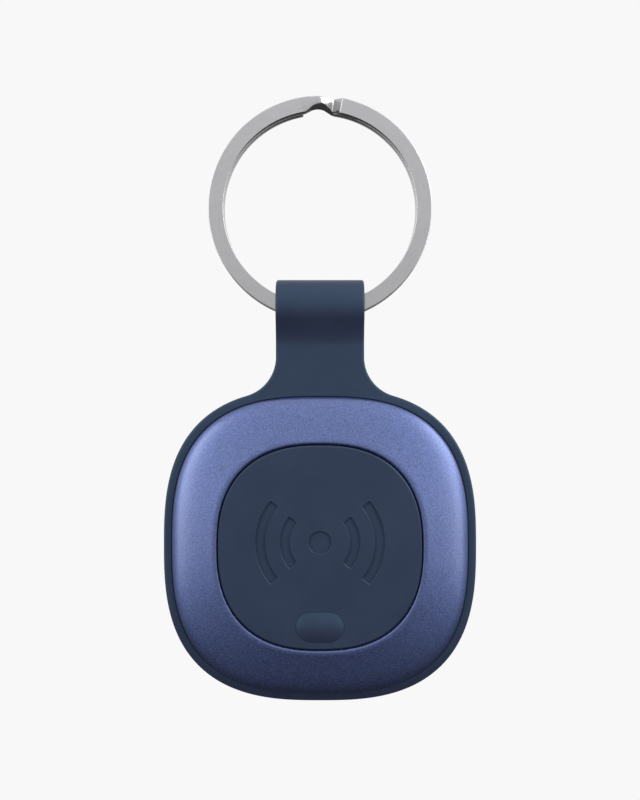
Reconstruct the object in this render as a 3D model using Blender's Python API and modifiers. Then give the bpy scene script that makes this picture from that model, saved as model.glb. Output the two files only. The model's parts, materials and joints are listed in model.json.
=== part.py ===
"""Bluetooth tracker tag: a coin-cell tag in a silicone sleeve, hanging from a split key ring.

Metres, +Z up, the front faces -Y. The origin is the point the whole thing hangs from: the inside of
the ring's crown. The ring lies in the XZ plane. Everything on the tag hangs from one empty on the
swing axis, the centre of the strap loop's channel.

Depths are distances along +Y from the ring's mid-plane, so a negative depth is nearer the front.
"""

import math

import bmesh
import bpy
from mathutils import Matrix

MM = 0.001

# Clearances: between pieces that seat on each other, and between thin bonded layers
SEAT_GAP = 0.20 * MM
BOND_GAP = 0.10 * MM

# Split ring
RING_OUTER_RADIUS = 14.0 * MM
WIRE_WIDTH = 1.9 * MM
COIL_THICKNESS = 1.15 * MM
COIL_GAP = 0.10 * MM
FRONT_CUT_DEG = 11.6
CRANK_START_DEG = 351.7
CRANK_END_DEG = 368.8
CRANK_BOW = 0.3 * MM
REAR_CUT_DEG = 710.1
RING_STEP_DEG = 7.5
CRANK_STEP_DEG = 2.2

RING_INNER_RADIUS = RING_OUTER_RADIUS - WIRE_WIDTH
RING_CENTER_Z = -RING_INNER_RADIUS
WIRE_RADIUS = RING_OUTER_RADIUS - WIRE_WIDTH / 2

# Strap loop and neck
STRAP_HALF_WIDTH = 5.5 * MM
CHANNEL_RADIUS = 2.25 * MM
LOOP_RADIUS = 3.45 * MM
LOOP_BELOW_RING_CENTER = 12.38 * MM
LOOP_BLEND_DEPTH = 4.9 * MM
FLARE_RADIUS = 5.02 * MM
FLARE_END_DEG = 254.0
FLARE_BELOW_LOOP = 6.3 * MM
SLEEVE_EDGE = 0.3 * MM
PIVOT_Z = RING_CENTER_Z - LOOP_BELOW_RING_CENTER

# Tag body outline: a rounded square, |x|^p + |z|^p = half^p
BODY_BELOW_PIVOT = 29.65 * MM
BODY_POWER = 2.75
SLEEVE_HALF = 19.45 * MM
SLEEVE_HALF_DEPTH = 1.85 * MM
COVER_HALF = 18.4 * MM
COVER_WALL = 1.0 * MM
RIB_REACH = 0.85 * MM
RIB_HALF_DEPTH = 0.5 * MM

# Front cover and pad
OPENING_HALF = 12.53 * MM
PAD_HALF = 12.33 * MM
PAD_POWER = 2.45
PAD_FACE = -4.6 * MM
PAD_BACK = -3.4 * MM
PAD_FLANGE_HALF = 13.6 * MM
PAD_FLANGE_FRONT = -3.1 * MM
PAD_FLANGE_BACK = -2.7 * MM
PAD_WALL_INNER = 11.7 * MM
PAD_EDGE = 0.22 * MM
COVER_CROWN = -4.3 * MM
COVER_RIM = -1.9 * MM
OPENING_CHAMFER = 0.35 * MM
SHOULDER = 1.4 * MM
SHOULDER_RISE = 1.0 * MM
CROWN_SLOPE = 0.25

# Emblem sunk into the pad: a dot between two pairs of arcs
EMBLEM_DEPTH = 0.25 * MM
EMBLEM_RISE = 0.6 * MM
EMBLEM_DOT = 1.35 * MM
EMBLEM_ARCS = (4.3 * MM, 7.3 * MM)
EMBLEM_STROKE = 1.1 * MM
EMBLEM_HALF_SPAN_DEG = 40.0

# Push key
KEY_BELOW_CENTER = 9.7 * MM
KEY_HALF_WIDTH = 2.85 * MM
KEY_HALF_HEIGHT = 1.75 * MM
KEY_CLEARANCE = 0.12 * MM
KEY_FACE = -4.95 * MM
STEM_RADIUS = 0.6 * MM

# Rear cover and battery door
REAR_FACE = 4.6 * MM
REAR_FLAT_HALF = 14.2 * MM
DOOR_RADIUS = 12.3 * MM
DOOR_THICKNESS = 0.7 * MM
DOOR_PLUG_RADIUS = 11.35 * MM
DOOR_PLUG_DEPTH = 3.62 * MM
LEDGE_RADIUS = 11.0 * MM
LEDGE_FRONT = 2.3 * MM
LEDGE_BACK = 3.1 * MM
DOOR_WALL = 0.8 * MM
SEAL_RADIUS = 11.85 * MM
SEAL_SECTION = 0.27 * MM
NOTCH_RADIUS = 1.7 * MM

# Coin cell, 20 mm across and 3.2 mm thick
CELL_RADIUS = 10.0 * MM
CELL_FRONT = 0.3 * MM
CELL_BACK = 3.5 * MM
CELL_SHEET = 0.25 * MM
CAP_RADIUS = 8.7 * MM

# Inner frame and circuit board
CHASSIS_HALF = 16.9 * MM
DECK_FRONT = 0.0 * MM
DECK_BACK = 1.0 * MM
WELL_INNER = 10.3 * MM
WELL_OUTER = 10.8 * MM
WELL_BACK = 3.3 * MM
BOARD_HALF = 16.8 * MM
BOARD_FRONT = -1.2 * MM
BOARD_BACK = -0.4 * MM

# Cover screws, at the four corners of a square
SCREW_OFFSET = 11.6 * MM
SCREW_HEAD_RADIUS = 1.05 * MM
SCREW_SHANK_RADIUS = 0.6 * MM
SCREW_SEAT = 2.9 * MM
SCREW_TIP = -1.5 * MM
BOSS_RADIUS = 1.4 * MM

# Sounder
PIEZO_RISE = 3.2 * MM
PIEZO_RADIUS = 6.0 * MM
CERAMIC_RADIUS = 4.4 * MM

OUTLINE_POINTS = 48
TINY = 0.000001

NAVY = (0.032, 0.046, 0.083)
NAVY_DARK = (0.022, 0.032, 0.060)
METALLIC_BLUE = (0.130, 0.165, 0.360)
STEEL = (0.560, 0.560, 0.570)
BRIGHT_METAL = (0.750, 0.740, 0.720)
BRASS = (0.700, 0.520, 0.240)
CERAMIC = (0.780, 0.770, 0.720)
BLACK = (0.020, 0.020, 0.022)
BOARD_GREEN = (0.015, 0.120, 0.060)
GRAPHITE = (0.050, 0.050, 0.055)

for old_object in list(bpy.data.objects):
    bpy.data.objects.remove(old_object, do_unlink=True)

part_collection = bpy.data.collections.new("tracker_tag")
cutter_collection = bpy.data.collections.new("cutters")
bpy.context.scene.collection.children.link(part_collection)
bpy.context.scene.collection.children.link(cutter_collection)


# ---------------------------------------------------------------- helpers

def add_empty(name, location, parent=None):
    """An empty that marks an axis or a centre; children are placed relative to it."""
    empty = bpy.data.objects.new(name, None)
    empty.empty_display_size = 3 * MM
    empty.parent = parent
    empty.location = location
    part_collection.objects.link(empty)
    return empty


ring_axis = add_empty("ring_axis", (0, 0, RING_CENTER_Z))
swing_axis = add_empty("swing_axis", (0, 0, PIVOT_Z))
body_center = add_empty("body_center", (0, 0, -BODY_BELOW_PIVOT), swing_axis)
key_axis = add_empty("key_axis", (0, 0, -KEY_BELOW_CENTER), body_center)


def add_object(name, mesh, location=(0, 0, 0), rotation=(0, 0, 0), parent=body_center):
    """Link a mesh as a named object of the tag."""
    piece = bpy.data.objects.new(name, mesh)
    piece.parent = parent
    piece.location = location
    piece.rotation_euler = rotation
    part_collection.objects.link(piece)
    return piece


def as_cutter(piece):
    """Move an object to the cutters, where it only shapes other objects."""
    part_collection.objects.unlink(piece)
    cutter_collection.objects.link(piece)
    piece.hide_render = True
    piece.display_type = "WIRE"
    return piece


def paint(piece, color, roughness, metallic=0.0):
    """Give an object its own Principled material."""
    material = bpy.data.materials.new(piece.name)
    material.use_nodes = True
    shader = material.node_tree.nodes["Principled BSDF"]
    shader.inputs["Base Color"].default_value = (*color, 1.0)
    shader.inputs["Roughness"].default_value = roughness
    shader.inputs["Metallic"].default_value = metallic
    piece.data.materials.clear()
    piece.data.materials.append(material)


def shade_smooth(piece, angle_deg=35.0):
    piece.data.shade_smooth()
    piece.data.set_sharp_from_angle(angle=math.radians(angle_deg))


def combine(piece, other, operation):
    """Cut another object out of a piece, or join it on; the other becomes a guide."""
    modifier = piece.modifiers.new(operation.lower() + "_" + other.name, "BOOLEAN")
    modifier.operation = operation
    modifier.solver = "EXACT"
    modifier.object = as_cutter(other)


def rounded_square(half, power):
    """Points of |x|^p + |z|^p = half^p, evenly spread by angle."""
    points = []
    for index in range(OUTLINE_POINTS):
        angle = 2 * math.pi * index / OUTLINE_POINTS
        across = math.cos(angle)
        up = math.sin(angle)
        radius = half / (abs(across) ** power + abs(up) ** power) ** (1 / power)
        points.append((radius * across, radius * up))
    return points


def arc(center, radius, start_deg, end_deg, steps):
    """Points along an arc, both ends included."""
    points = []
    for index in range(steps + 1):
        angle = math.radians(start_deg + (end_deg - start_deg) * index / steps)
        points.append((center[0] + radius * math.cos(angle), center[1] + radius * math.sin(angle)))
    return points


def circle(center, radius, steps):
    return arc(center, radius, 0, 360, steps)[:-1]


def stadium(half_width, half_height, steps=10):
    """A pill outline: two half circles joined by straight sides."""
    reach = half_width - half_height
    return arc((reach, 0), half_height, -90, 90, steps) + arc((-reach, 0), half_height, 90, 270, steps)


def bezier(start, lead, trail, end, steps):
    """Points along a cubic curve, both ends included."""
    points = []
    for index in range(steps + 1):
        t = index / steps
        weights = ((1 - t) ** 3, 3 * t * (1 - t) ** 2, 3 * t * t * (1 - t), t ** 3)
        controls = (start, lead, trail, end)
        across = sum(weight * point[0] for weight, point in zip(weights, controls))
        depth = sum(weight * point[1] for weight, point in zip(weights, controls))
        points.append((across, depth))
    return points


def face_outward(mesh):
    """Weld a mesh and point all its faces outward."""
    shape = bmesh.new()
    shape.from_mesh(mesh)
    bmesh.ops.remove_doubles(shape, verts=shape.verts, dist=TINY)
    bmesh.ops.recalc_face_normals(shape, faces=shape.faces)
    shape.to_mesh(mesh)
    shape.free()


def mesh_from_curve(curve):
    """Turn a curve object into a welded mesh object in the same place."""
    bpy.context.view_layer.update()
    evaluated = curve.evaluated_get(bpy.context.evaluated_depsgraph_get())
    mesh = bpy.data.meshes.new_from_object(evaluated)
    face_outward(mesh)
    name = curve.name
    place = curve.matrix_world.copy()
    parent = curve.parent
    bpy.data.objects.remove(curve, do_unlink=True)
    piece = bpy.data.objects.new(name, mesh)
    part_collection.objects.link(piece)
    piece.parent = parent
    piece.matrix_world = place
    return piece


def extrusion(name, outlines, thickness, location, rotation, edge, parent):
    """Closed outlines drawn out evenly to both sides of their plane; inner outlines are holes."""
    curve = bpy.data.curves.new(name, "CURVE")
    curve.dimensions = "2D"
    curve.fill_mode = "BOTH"
    curve.extrude = thickness / 2 - edge
    curve.bevel_depth = edge
    curve.bevel_resolution = 0
    curve.offset = -edge
    for outline in outlines:
        spline = curve.splines.new("POLY")
        spline.points.add(len(outline) - 1)
        for point, (first, second) in zip(spline.points, outline):
            point.co = (first, second, 0, 1)
        spline.use_cyclic_u = True
    return mesh_from_curve(add_object(name, curve, location, rotation, parent))


def plate(name, outlines, front, back, center=(0, 0), edge=0.0, parent=body_center):
    """A flat piece facing front and back, outlined in (across, up)."""
    location = (center[0], (front + back) / 2, center[1])
    return extrusion(name, outlines, back - front, location, (math.pi / 2, 0, 0), edge, parent)


def bent_strip(name, outline, width, height=0.0):
    """A sheet-metal spring: its edge in (across, depth), drawn out along Z at a height."""
    return extrusion(name, [outline], width, (0, 0, height), (0, 0, 0), 0.0, body_center)


def rod(name, radius, front, back, center=(0, 0), segments=24, parent=body_center):
    """A round pin or disc whose axis runs front to back."""
    mesh = bpy.data.meshes.new(name)
    shape = bmesh.new()
    bmesh.ops.create_cone(shape, cap_ends=True, segments=segments, radius1=radius, radius2=radius,
                          depth=back - front, matrix=Matrix.Rotation(math.pi / 2, 4, "X"))
    shape.to_mesh(mesh)
    shape.free()
    return add_object(name, mesh, (center[0], (front + back) / 2, center[1]), parent=parent)


def block(name, size, location, edge=0.0, parent=body_center):
    """A box of (across, depth, up) size, with an optional bevel."""
    mesh = bpy.data.meshes.new(name)
    shape = bmesh.new()
    bmesh.ops.create_cube(shape, size=1.0, matrix=Matrix.Diagonal((*size, 1.0)))
    shape.to_mesh(mesh)
    shape.free()
    piece = add_object(name, mesh, location, parent=parent)
    if edge > 0:
        bevel = piece.modifiers.new("edges", "BEVEL")
        bevel.width = edge
        bevel.segments = 2
        bevel.limit_method = "ANGLE"
    return piece


def turned(name, profile, center=(0, 0), segments=48, parent=body_center):
    """A solid turned about a front-to-back axis from (radius, depth) points, rear end first."""
    mesh = bpy.data.meshes.new(name)
    vertices = [(radius, 0, depth) for radius, depth in profile]
    edges = [(index, index + 1) for index in range(len(profile) - 1)]
    mesh.from_pydata(vertices, edges, [])
    piece = add_object(name, mesh, (center[0], 0, center[1]), (-math.pi / 2, 0, 0), parent)
    screw = piece.modifiers.new("turn", "SCREW")
    screw.axis = "Z"
    screw.steps = segments
    screw.render_steps = segments
    screw.use_merge_vertices = True
    screw.merge_threshold = TINY
    return piece


def loft(name, sections, end_caps):
    """A skin over stacked rounded squares (half, power, depth), closed on itself or capped."""
    mesh = bpy.data.meshes.new(name)
    shape = bmesh.new()
    loops = []
    for half, power, depth in sections:
        loops.append([shape.verts.new((x, depth, z)) for x, z in rounded_square(half, power)])
    pairs = list(zip(loops, loops[1:]))
    if end_caps:
        shape.faces.new(loops[0])
        shape.faces.new(loops[-1])
    else:
        pairs.append((loops[-1], loops[0]))
    for lower, upper in pairs:
        for index in range(OUTLINE_POINTS):
            after = (index + 1) % OUTLINE_POINTS
            shape.faces.new((lower[index], lower[after], upper[after], upper[index]))
    bmesh.ops.recalc_face_normals(shape, faces=shape.faces)
    shape.to_mesh(mesh)
    shape.free()
    return add_object(name, mesh)


def corners(offset):
    """The four corners of a square about the body's centre."""
    return [(side * offset, end * offset) for end in (1, -1) for side in (-1, 1)]


# ---------------------------------------------------------------- ring

def crank_share(angle_deg):
    """0 on the front coil, 1 on the rear coil, easing over the crank."""
    share = (angle_deg - CRANK_START_DEG) / (CRANK_END_DEG - CRANK_START_DEG)
    share = min(1.0, max(0.0, share))
    return share * share * (3 - 2 * share)


def ring_angles():
    """Stations along the wire, closer together over the crank."""
    angles = []
    stretches = ((FRONT_CUT_DEG, CRANK_START_DEG, RING_STEP_DEG),
                 (CRANK_START_DEG, CRANK_END_DEG, CRANK_STEP_DEG),
                 (CRANK_END_DEG, REAR_CUT_DEG, RING_STEP_DEG))
    for start, end, step in stretches:
        count = round((end - start) / step)
        angles += [start + (end - start) * index / count for index in range(count)]
    return angles + [REAR_CUT_DEG]


def build_key_ring():
    """Two coils of flat wire, wound clockwise from the front cut end, joined by a crank."""
    half_width = WIRE_WIDTH / 2
    half_thick = COIL_THICKNESS / 2
    round_off = 0.12 * MM
    section = bpy.data.curves.new("wire_section", "CURVE")
    section.dimensions = "2D"
    spline = section.splines.new("POLY")
    outline = []
    for side, end in ((1, -1), (1, 1), (-1, 1), (-1, -1)):
        near_side = (side * half_width, end * (half_thick - round_off))
        near_end = (side * (half_width - round_off), end * half_thick)
        outline += [near_side, near_end] if side * end > 0 else [near_end, near_side]
    spline.points.add(len(outline) - 1)
    for point, (across, thick) in zip(spline.points, outline):
        point.co = (across, thick, 0, 1)
    spline.use_cyclic_u = True
    section_object = as_cutter(add_object("wire_section", section, parent=None))

    curve = bpy.data.curves.new("key_ring", "CURVE")
    curve.dimensions = "3D"
    curve.twist_mode = "Z_UP"
    curve.bevel_mode = "OBJECT"
    curve.bevel_object = section_object
    curve.use_fill_caps = True
    path = curve.splines.new("POLY")
    angles = ring_angles()
    path.points.add(len(angles) - 1)
    layer = (COIL_THICKNESS + COIL_GAP) / 2
    for point, angle_deg in zip(path.points, angles):
        share = crank_share(angle_deg)
        radius = WIRE_RADIUS + CRANK_BOW * 4 * share * (1 - share)
        angle = math.radians(angle_deg)
        point.co = (radius * math.sin(angle), radius * math.cos(angle), layer * (1 - 2 * share), 1)
    ring = mesh_from_curve(add_object("key_ring", curve, rotation=(math.pi / 2, 0, 0), parent=ring_axis))
    shade_smooth(ring)
    paint(ring, STEEL, 0.28, 1.0)


# ---------------------------------------------------------------- sleeve

def sleeve_outline():
    """The sleeve from the front: strap sides, flared neck, then the rounded square of the rim."""
    strap_top = -FLARE_BELOW_LOOP + BODY_BELOW_PIVOT
    flare_center = (STRAP_HALF_WIDTH + FLARE_RADIUS, strap_top)
    flare = arc(flare_center, FLARE_RADIUS, 180, FLARE_END_DEG, 9)
    join_x = flare[-1][0]
    rim = [point for point in rounded_square(SLEEVE_HALF, BODY_POWER)
           if point[1] < 0 or abs(point[0]) > join_x + 0.6 * MM]
    rim.sort(key=lambda point: math.atan2(point[0], point[1]) % (2 * math.pi))
    left_flare = [(-x, z) for x, z in reversed(flare)]
    neck_top = strap_top + 1.2 * MM
    return ([(STRAP_HALF_WIDTH, neck_top)] + flare + rim + left_flare + [(-STRAP_HALF_WIDTH, neck_top)])


def loop_outline():
    """The strap loop from the side: round over the ring, easing in to the neck's thickness."""
    leave_deg = -28.0
    over = arc((0, 0), LOOP_RADIUS, leave_deg, 180 - leave_deg, 20)
    leave_x, leave_z = over[0]
    slope = math.radians(leave_deg - 90)
    lead = (leave_x + 1.5 * MM * math.cos(slope), leave_z + 1.5 * MM * math.sin(slope))
    foot = (SLEEVE_HALF_DEPTH, -LOOP_BLEND_DEPTH)
    trail = (SLEEVE_HALF_DEPTH, -LOOP_BLEND_DEPTH + 0.9 * MM)
    ease = bezier((leave_x, leave_z), lead, trail, foot, 8)[1:]
    base_z = -FLARE_BELOW_LOOP - 1.0 * MM
    right = [(SLEEVE_HALF_DEPTH, base_z)] + ease[::-1]
    left = [(-depth, up) for depth, up in ease] + [(-SLEEVE_HALF_DEPTH, base_z)]
    return right + over + left


def build_strap_sleeve():
    """Rim, neck and loop moulded as one, with a rib inside that the two covers clamp."""
    opening = rounded_square(COVER_HALF + SEAT_GAP, BODY_POWER)
    sleeve = plate("strap_sleeve", [sleeve_outline(), opening], -SLEEVE_HALF_DEPTH, SLEEVE_HALF_DEPTH,
                   edge=SLEEVE_EDGE)

    channel = circle((0, 0), CHANNEL_RADIUS, 28)
    loop = extrusion("strap_loop", [loop_outline(), channel], 2 * STRAP_HALF_WIDTH, (0, 0, 0),
                     (math.pi / 2, 0, math.pi / 2), SLEEVE_EDGE, swing_axis)
    combine(sleeve, loop, "UNION")

    rib_inner = COVER_HALF - RIB_REACH
    rib_outer = COVER_HALF + SEAT_GAP + 0.4 * MM
    rib = plate("sleeve_rib", [rounded_square(rib_outer, BODY_POWER), rounded_square(rib_inner, BODY_POWER)],
                -RIB_HALF_DEPTH, RIB_HALF_DEPTH)
    combine(sleeve, rib, "UNION")
    shade_smooth(sleeve)
    paint(sleeve, NAVY, 0.55)


# ---------------------------------------------------------------- covers

def dome_sections(crown_half, crown_power, crown, rim, steps=5):
    """Outer skin of a cover from its rim to its crown, and the inner skin one wall behind it."""
    skirt_half = COVER_HALF
    side = 1 if crown > 0 else -1
    shoulder = skirt_half - SHOULDER
    shoulder_level = crown - side * CROWN_SLOPE * (shoulder - crown_half)
    outer = bezier((skirt_half, rim), (skirt_half, rim + side * SHOULDER_RISE),
                   (shoulder, shoulder_level), (crown_half, crown), steps)
    inner_rim = rim - side * 0.2 * MM
    inner_crown = crown - side * COVER_WALL
    inner_half = skirt_half - COVER_WALL
    inner = bezier((inner_half, inner_rim), (inner_half - 0.3 * MM, inner_rim + side * 0.7 * MM),
                   (inner_half - 1.8 * MM, inner_crown - side * 0.1 * MM), (crown_half, inner_crown), steps)

    def with_power(half):
        share = (skirt_half - half) / (skirt_half - crown_half)
        return BODY_POWER + (crown_power - BODY_POWER) * min(1.0, max(0.0, share))

    return ([(half, with_power(half), depth) for half, depth in outer],
            [(half, with_power(half), depth) for half, depth in inner])


def add_bosses(cover, front, back, radius):
    """Screw bosses inside a cover's corners."""
    for number, center in enumerate(corners(SCREW_OFFSET), 1):
        combine(cover, rod(f"{cover.name}_boss_{number}", radius, front, back, center, 16), "UNION")


def drill(piece, label, radius, front, back, segments=16):
    """Holes on the screws' axes."""
    for number, center in enumerate(corners(SCREW_OFFSET), 1):
        hole = rod(f"{piece.name}_{label}_{number}", radius, front, back, center, segments)
        combine(piece, hole, "DIFFERENCE")


def build_front_cover():
    """Domed frame round the pad, with four blind screw bosses reaching back inside."""
    skirt_end = -RIB_HALF_DEPTH - SEAT_GAP
    outer, inner = dome_sections(OPENING_HALF + OPENING_CHAMFER, PAD_POWER, COVER_CROWN, COVER_RIM)
    opening_back = COVER_CROWN + COVER_WALL
    sections = [(COVER_HALF, BODY_POWER, skirt_end)] + outer
    sections.append((OPENING_HALF, PAD_POWER, COVER_CROWN + OPENING_CHAMFER))
    sections.append((OPENING_HALF, PAD_POWER, opening_back))
    sections += inner[::-1]
    sections.append((COVER_HALF - COVER_WALL, BODY_POWER, skirt_end))
    cover = loft("front_cover", sections, end_caps=False)
    add_bosses(cover, -3.3 * MM, DECK_BACK, BOSS_RADIUS)
    drill(cover, "pilot", SCREW_SHANK_RADIUS + 0.15 * MM, -2.0 * MM, DECK_BACK + 1.0 * MM, 12)
    shade_smooth(cover)
    paint(cover, METALLIC_BLUE, 0.35, 0.9)


def build_rear_cover():
    """Domed rear shell with a round door opening, a ledge for the seal and counterbored corners."""
    skirt_end = RIB_HALF_DEPTH + SEAT_GAP
    outer, inner = dome_sections(REAR_FLAT_HALF, 2.5, REAR_FACE, -COVER_RIM)
    door_opening = DOOR_RADIUS + SEAT_GAP
    well_wall = door_opening + DOOR_WALL
    sections = [(COVER_HALF, BODY_POWER, skirt_end)] + outer
    sections.append((door_opening, 2.0, REAR_FACE))
    sections.append((door_opening, 2.0, LEDGE_BACK))
    sections.append((LEDGE_RADIUS, 2.0, LEDGE_BACK))
    sections.append((LEDGE_RADIUS, 2.0, LEDGE_FRONT))
    sections.append((well_wall, 2.0, LEDGE_FRONT))
    sections.append((well_wall, 2.1, REAR_FACE - COVER_WALL))
    sections += inner[-2::-1]
    sections.append((COVER_HALF - COVER_WALL, BODY_POWER, skirt_end))
    cover = loft("rear_cover", sections, end_caps=False)
    add_bosses(cover, DECK_BACK + SEAT_GAP, 3.7 * MM, 1.8 * MM)
    drill(cover, "clearance", SCREW_SHANK_RADIUS + 0.2 * MM, 0.5 * MM, SCREW_SEAT + 0.5 * MM, 12)
    drill(cover, "counterbore", SCREW_HEAD_RADIUS + 0.2 * MM, SCREW_SEAT, REAR_FACE + 1.0 * MM)
    notch = rod("pry_notch", NOTCH_RADIUS, LEDGE_BACK + 0.6 * MM, REAR_FACE + 1.0 * MM,
                (0, -door_opening))
    combine(cover, notch, "DIFFERENCE")
    shade_smooth(cover)
    paint(cover, METALLIC_BLUE, 0.35, 0.9)


def build_center_pad():
    """Panel in the front cover's opening, held from behind by its flange."""
    sections = [
        (PAD_HALF - PAD_EDGE, PAD_POWER, PAD_FACE),
        (PAD_HALF - PAD_EDGE * 0.3, PAD_POWER, PAD_FACE + PAD_EDGE * 0.3),
        (PAD_HALF, PAD_POWER, PAD_FACE + PAD_EDGE),
        (PAD_HALF, PAD_POWER, PAD_FLANGE_FRONT),
        (PAD_FLANGE_HALF, PAD_POWER, PAD_FLANGE_FRONT),
        (PAD_FLANGE_HALF, PAD_POWER, PAD_FLANGE_BACK),
        (PAD_WALL_INNER, PAD_POWER, PAD_FLANGE_BACK),
        (PAD_WALL_INNER, PAD_POWER, PAD_BACK),
    ]
    pad = loft("center_pad", sections, end_caps=True)
    key_hole = plate("key_hole", [stadium(KEY_HALF_WIDTH + KEY_CLEARANCE, KEY_HALF_HEIGHT + KEY_CLEARANCE)],
                     PAD_FACE - 1.0 * MM, PAD_BACK + 0.5 * MM, (0, -KEY_BELOW_CENTER))
    combine(pad, key_hole, "DIFFERENCE")

    sunk_front = PAD_FACE - 0.5 * MM
    sunk_back = PAD_FACE + EMBLEM_DEPTH
    dot = rod("emblem_dot", EMBLEM_DOT, sunk_front, sunk_back, (0, EMBLEM_RISE))
    combine(pad, dot, "DIFFERENCE")
    for radius in EMBLEM_ARCS:
        for side_deg in (0, 180):
            start = side_deg - EMBLEM_HALF_SPAN_DEG
            end = side_deg + EMBLEM_HALF_SPAN_DEG
            outside = arc((0, 0), radius + EMBLEM_STROKE / 2, start, end, 8)
            inside = arc((0, 0), radius - EMBLEM_STROKE / 2, end, start, 8)
            groove = plate(f"emblem_arc_{round(radius / MM)}_{side_deg}", [outside + inside],
                           sunk_front, sunk_back, (0, EMBLEM_RISE))
            combine(pad, groove, "DIFFERENCE")
    shade_smooth(pad)
    paint(pad, NAVY, 0.6)


def build_button_key():
    """Pill key with a domed face, a retaining bar behind the pad and a stem over the switch."""
    layers = ((0.0, KEY_FACE + 0.36 * MM), (0.25 * MM, KEY_FACE + 0.24 * MM),
              (0.6 * MM, KEY_FACE + 0.12 * MM), (1.1 * MM, KEY_FACE + 0.03 * MM), (1.5 * MM, KEY_FACE))
    mesh = bpy.data.meshes.new("button_key")
    shape = bmesh.new()
    depths = [(0.0, PAD_BACK + 0.3 * MM)] + list(layers)
    loops = []
    for inset, depth in depths:
        outline = stadium(KEY_HALF_WIDTH - inset, KEY_HALF_HEIGHT - inset)
        loops.append([shape.verts.new((x, depth, z)) for x, z in outline])
    for lower, upper in zip(loops, loops[1:]):
        for index in range(len(lower)):
            after = (index + 1) % len(lower)
            shape.faces.new((lower[index], lower[after], upper[after], upper[index]))
    shape.faces.new(loops[0])
    shape.faces.new(loops[-1])
    bmesh.ops.recalc_face_normals(shape, faces=shape.faces)
    shape.to_mesh(mesh)
    shape.free()
    key = add_object("button_key", mesh, parent=key_axis)
    bar_front = PAD_BACK + 0.12 * MM
    bar_back = PAD_BACK + 0.42 * MM
    bar = block("key_bar", (7.2 * MM, bar_back - bar_front, 3.6 * MM),
                (0, (bar_front + bar_back) / 2, 0.25 * MM), parent=key_axis)
    combine(key, bar, "UNION")
    stem = rod("key_stem", STEM_RADIUS, PAD_BACK + 0.2 * MM, -2.62 * MM, segments=20, parent=key_axis)
    combine(key, stem, "UNION")
    shade_smooth(key)
    paint(key, NAVY, 0.5)


def build_battery_door():
    """Round door with a plug that centres it in the ledge, and a notch to pry at."""
    door_front = REAR_FACE - DOOR_THICKNESS
    edge = 0.15 * MM
    door = turned("battery_door", [
        (0, REAR_FACE), (DOOR_RADIUS - edge, REAR_FACE), (DOOR_RADIUS, REAR_FACE - edge),
        (DOOR_RADIUS, door_front), (DOOR_PLUG_RADIUS, door_front), (DOOR_PLUG_RADIUS, DOOR_PLUG_DEPTH),
        (0, DOOR_PLUG_DEPTH)], segments=56)
    notch = block("door_notch", (2.2 * MM, 1.0 * MM, 1.0 * MM),
                  (0, door_front, -DOOR_RADIUS), edge=0.1 * MM)
    combine(door, notch, "DIFFERENCE")
    shade_smooth(door)
    paint(door, NAVY_DARK, 0.5)

    seal_mesh = bpy.data.meshes.new("door_seal")
    shape = bmesh.new()
    ring = bmesh.ops.create_circle(shape, segments=6, radius=SEAL_SECTION,
                                   matrix=Matrix.Translation((SEAL_RADIUS, 0, 0)))
    loop_edges = {edge for vertex in ring["verts"] for edge in vertex.link_edges}
    bmesh.ops.spin(shape, geom=list(ring["verts"]) + list(loop_edges), cent=(0, 0, 0), axis=(0, 1, 0),
                   angle=2 * math.pi, steps=36, use_merge=True)
    bmesh.ops.remove_doubles(shape, verts=shape.verts, dist=TINY)
    bmesh.ops.recalc_face_normals(shape, faces=shape.faces)
    shape.to_mesh(seal_mesh)
    shape.free()
    seal = add_object("door_seal", seal_mesh, (0, (LEDGE_BACK + door_front) / 2, 0))
    shade_smooth(seal)
    paint(seal, BLACK, 0.6)


# ---------------------------------------------------------------- inner frame, board and cell

def build_chassis():
    """Deck with the battery well, a lip under the cell and windows for the bosses and contact."""
    chassis = plate("chassis", [rounded_square(CHASSIS_HALF, BODY_POWER), circle((0, 0), WELL_INNER, 48)],
                    DECK_FRONT, DECK_BACK)
    well = turned("battery_well", [
        (WELL_INNER, WELL_BACK), (WELL_OUTER, WELL_BACK), (WELL_OUTER, -0.2 * MM), (9.3 * MM, -0.2 * MM),
        (9.3 * MM, 0.15 * MM), (WELL_INNER, 0.15 * MM), (WELL_INNER, WELL_BACK)], segments=48)
    combine(chassis, well, "UNION")
    drill(chassis, "window", BOSS_RADIUS + 0.3 * MM, -1.0 * MM, 2.0 * MM)
    window = block("contact_window", (3.2 * MM, 6.0 * MM, 4.6 * MM), (11.3 * MM, 1.5 * MM, 0))
    combine(chassis, window, "DIFFERENCE")
    shade_smooth(chassis)
    paint(chassis, BLACK, 0.55)


def build_circuit_board():
    """Board with four clearance holes for the front cover's bosses."""
    holes = [circle(center, BOSS_RADIUS + 0.3 * MM, 20) for center in corners(SCREW_OFFSET)]
    board = plate("circuit_board", [rounded_square(BOARD_HALF, BODY_POWER)] + holes, BOARD_FRONT, BOARD_BACK)
    paint(board, BOARD_GREEN, 0.4)


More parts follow.
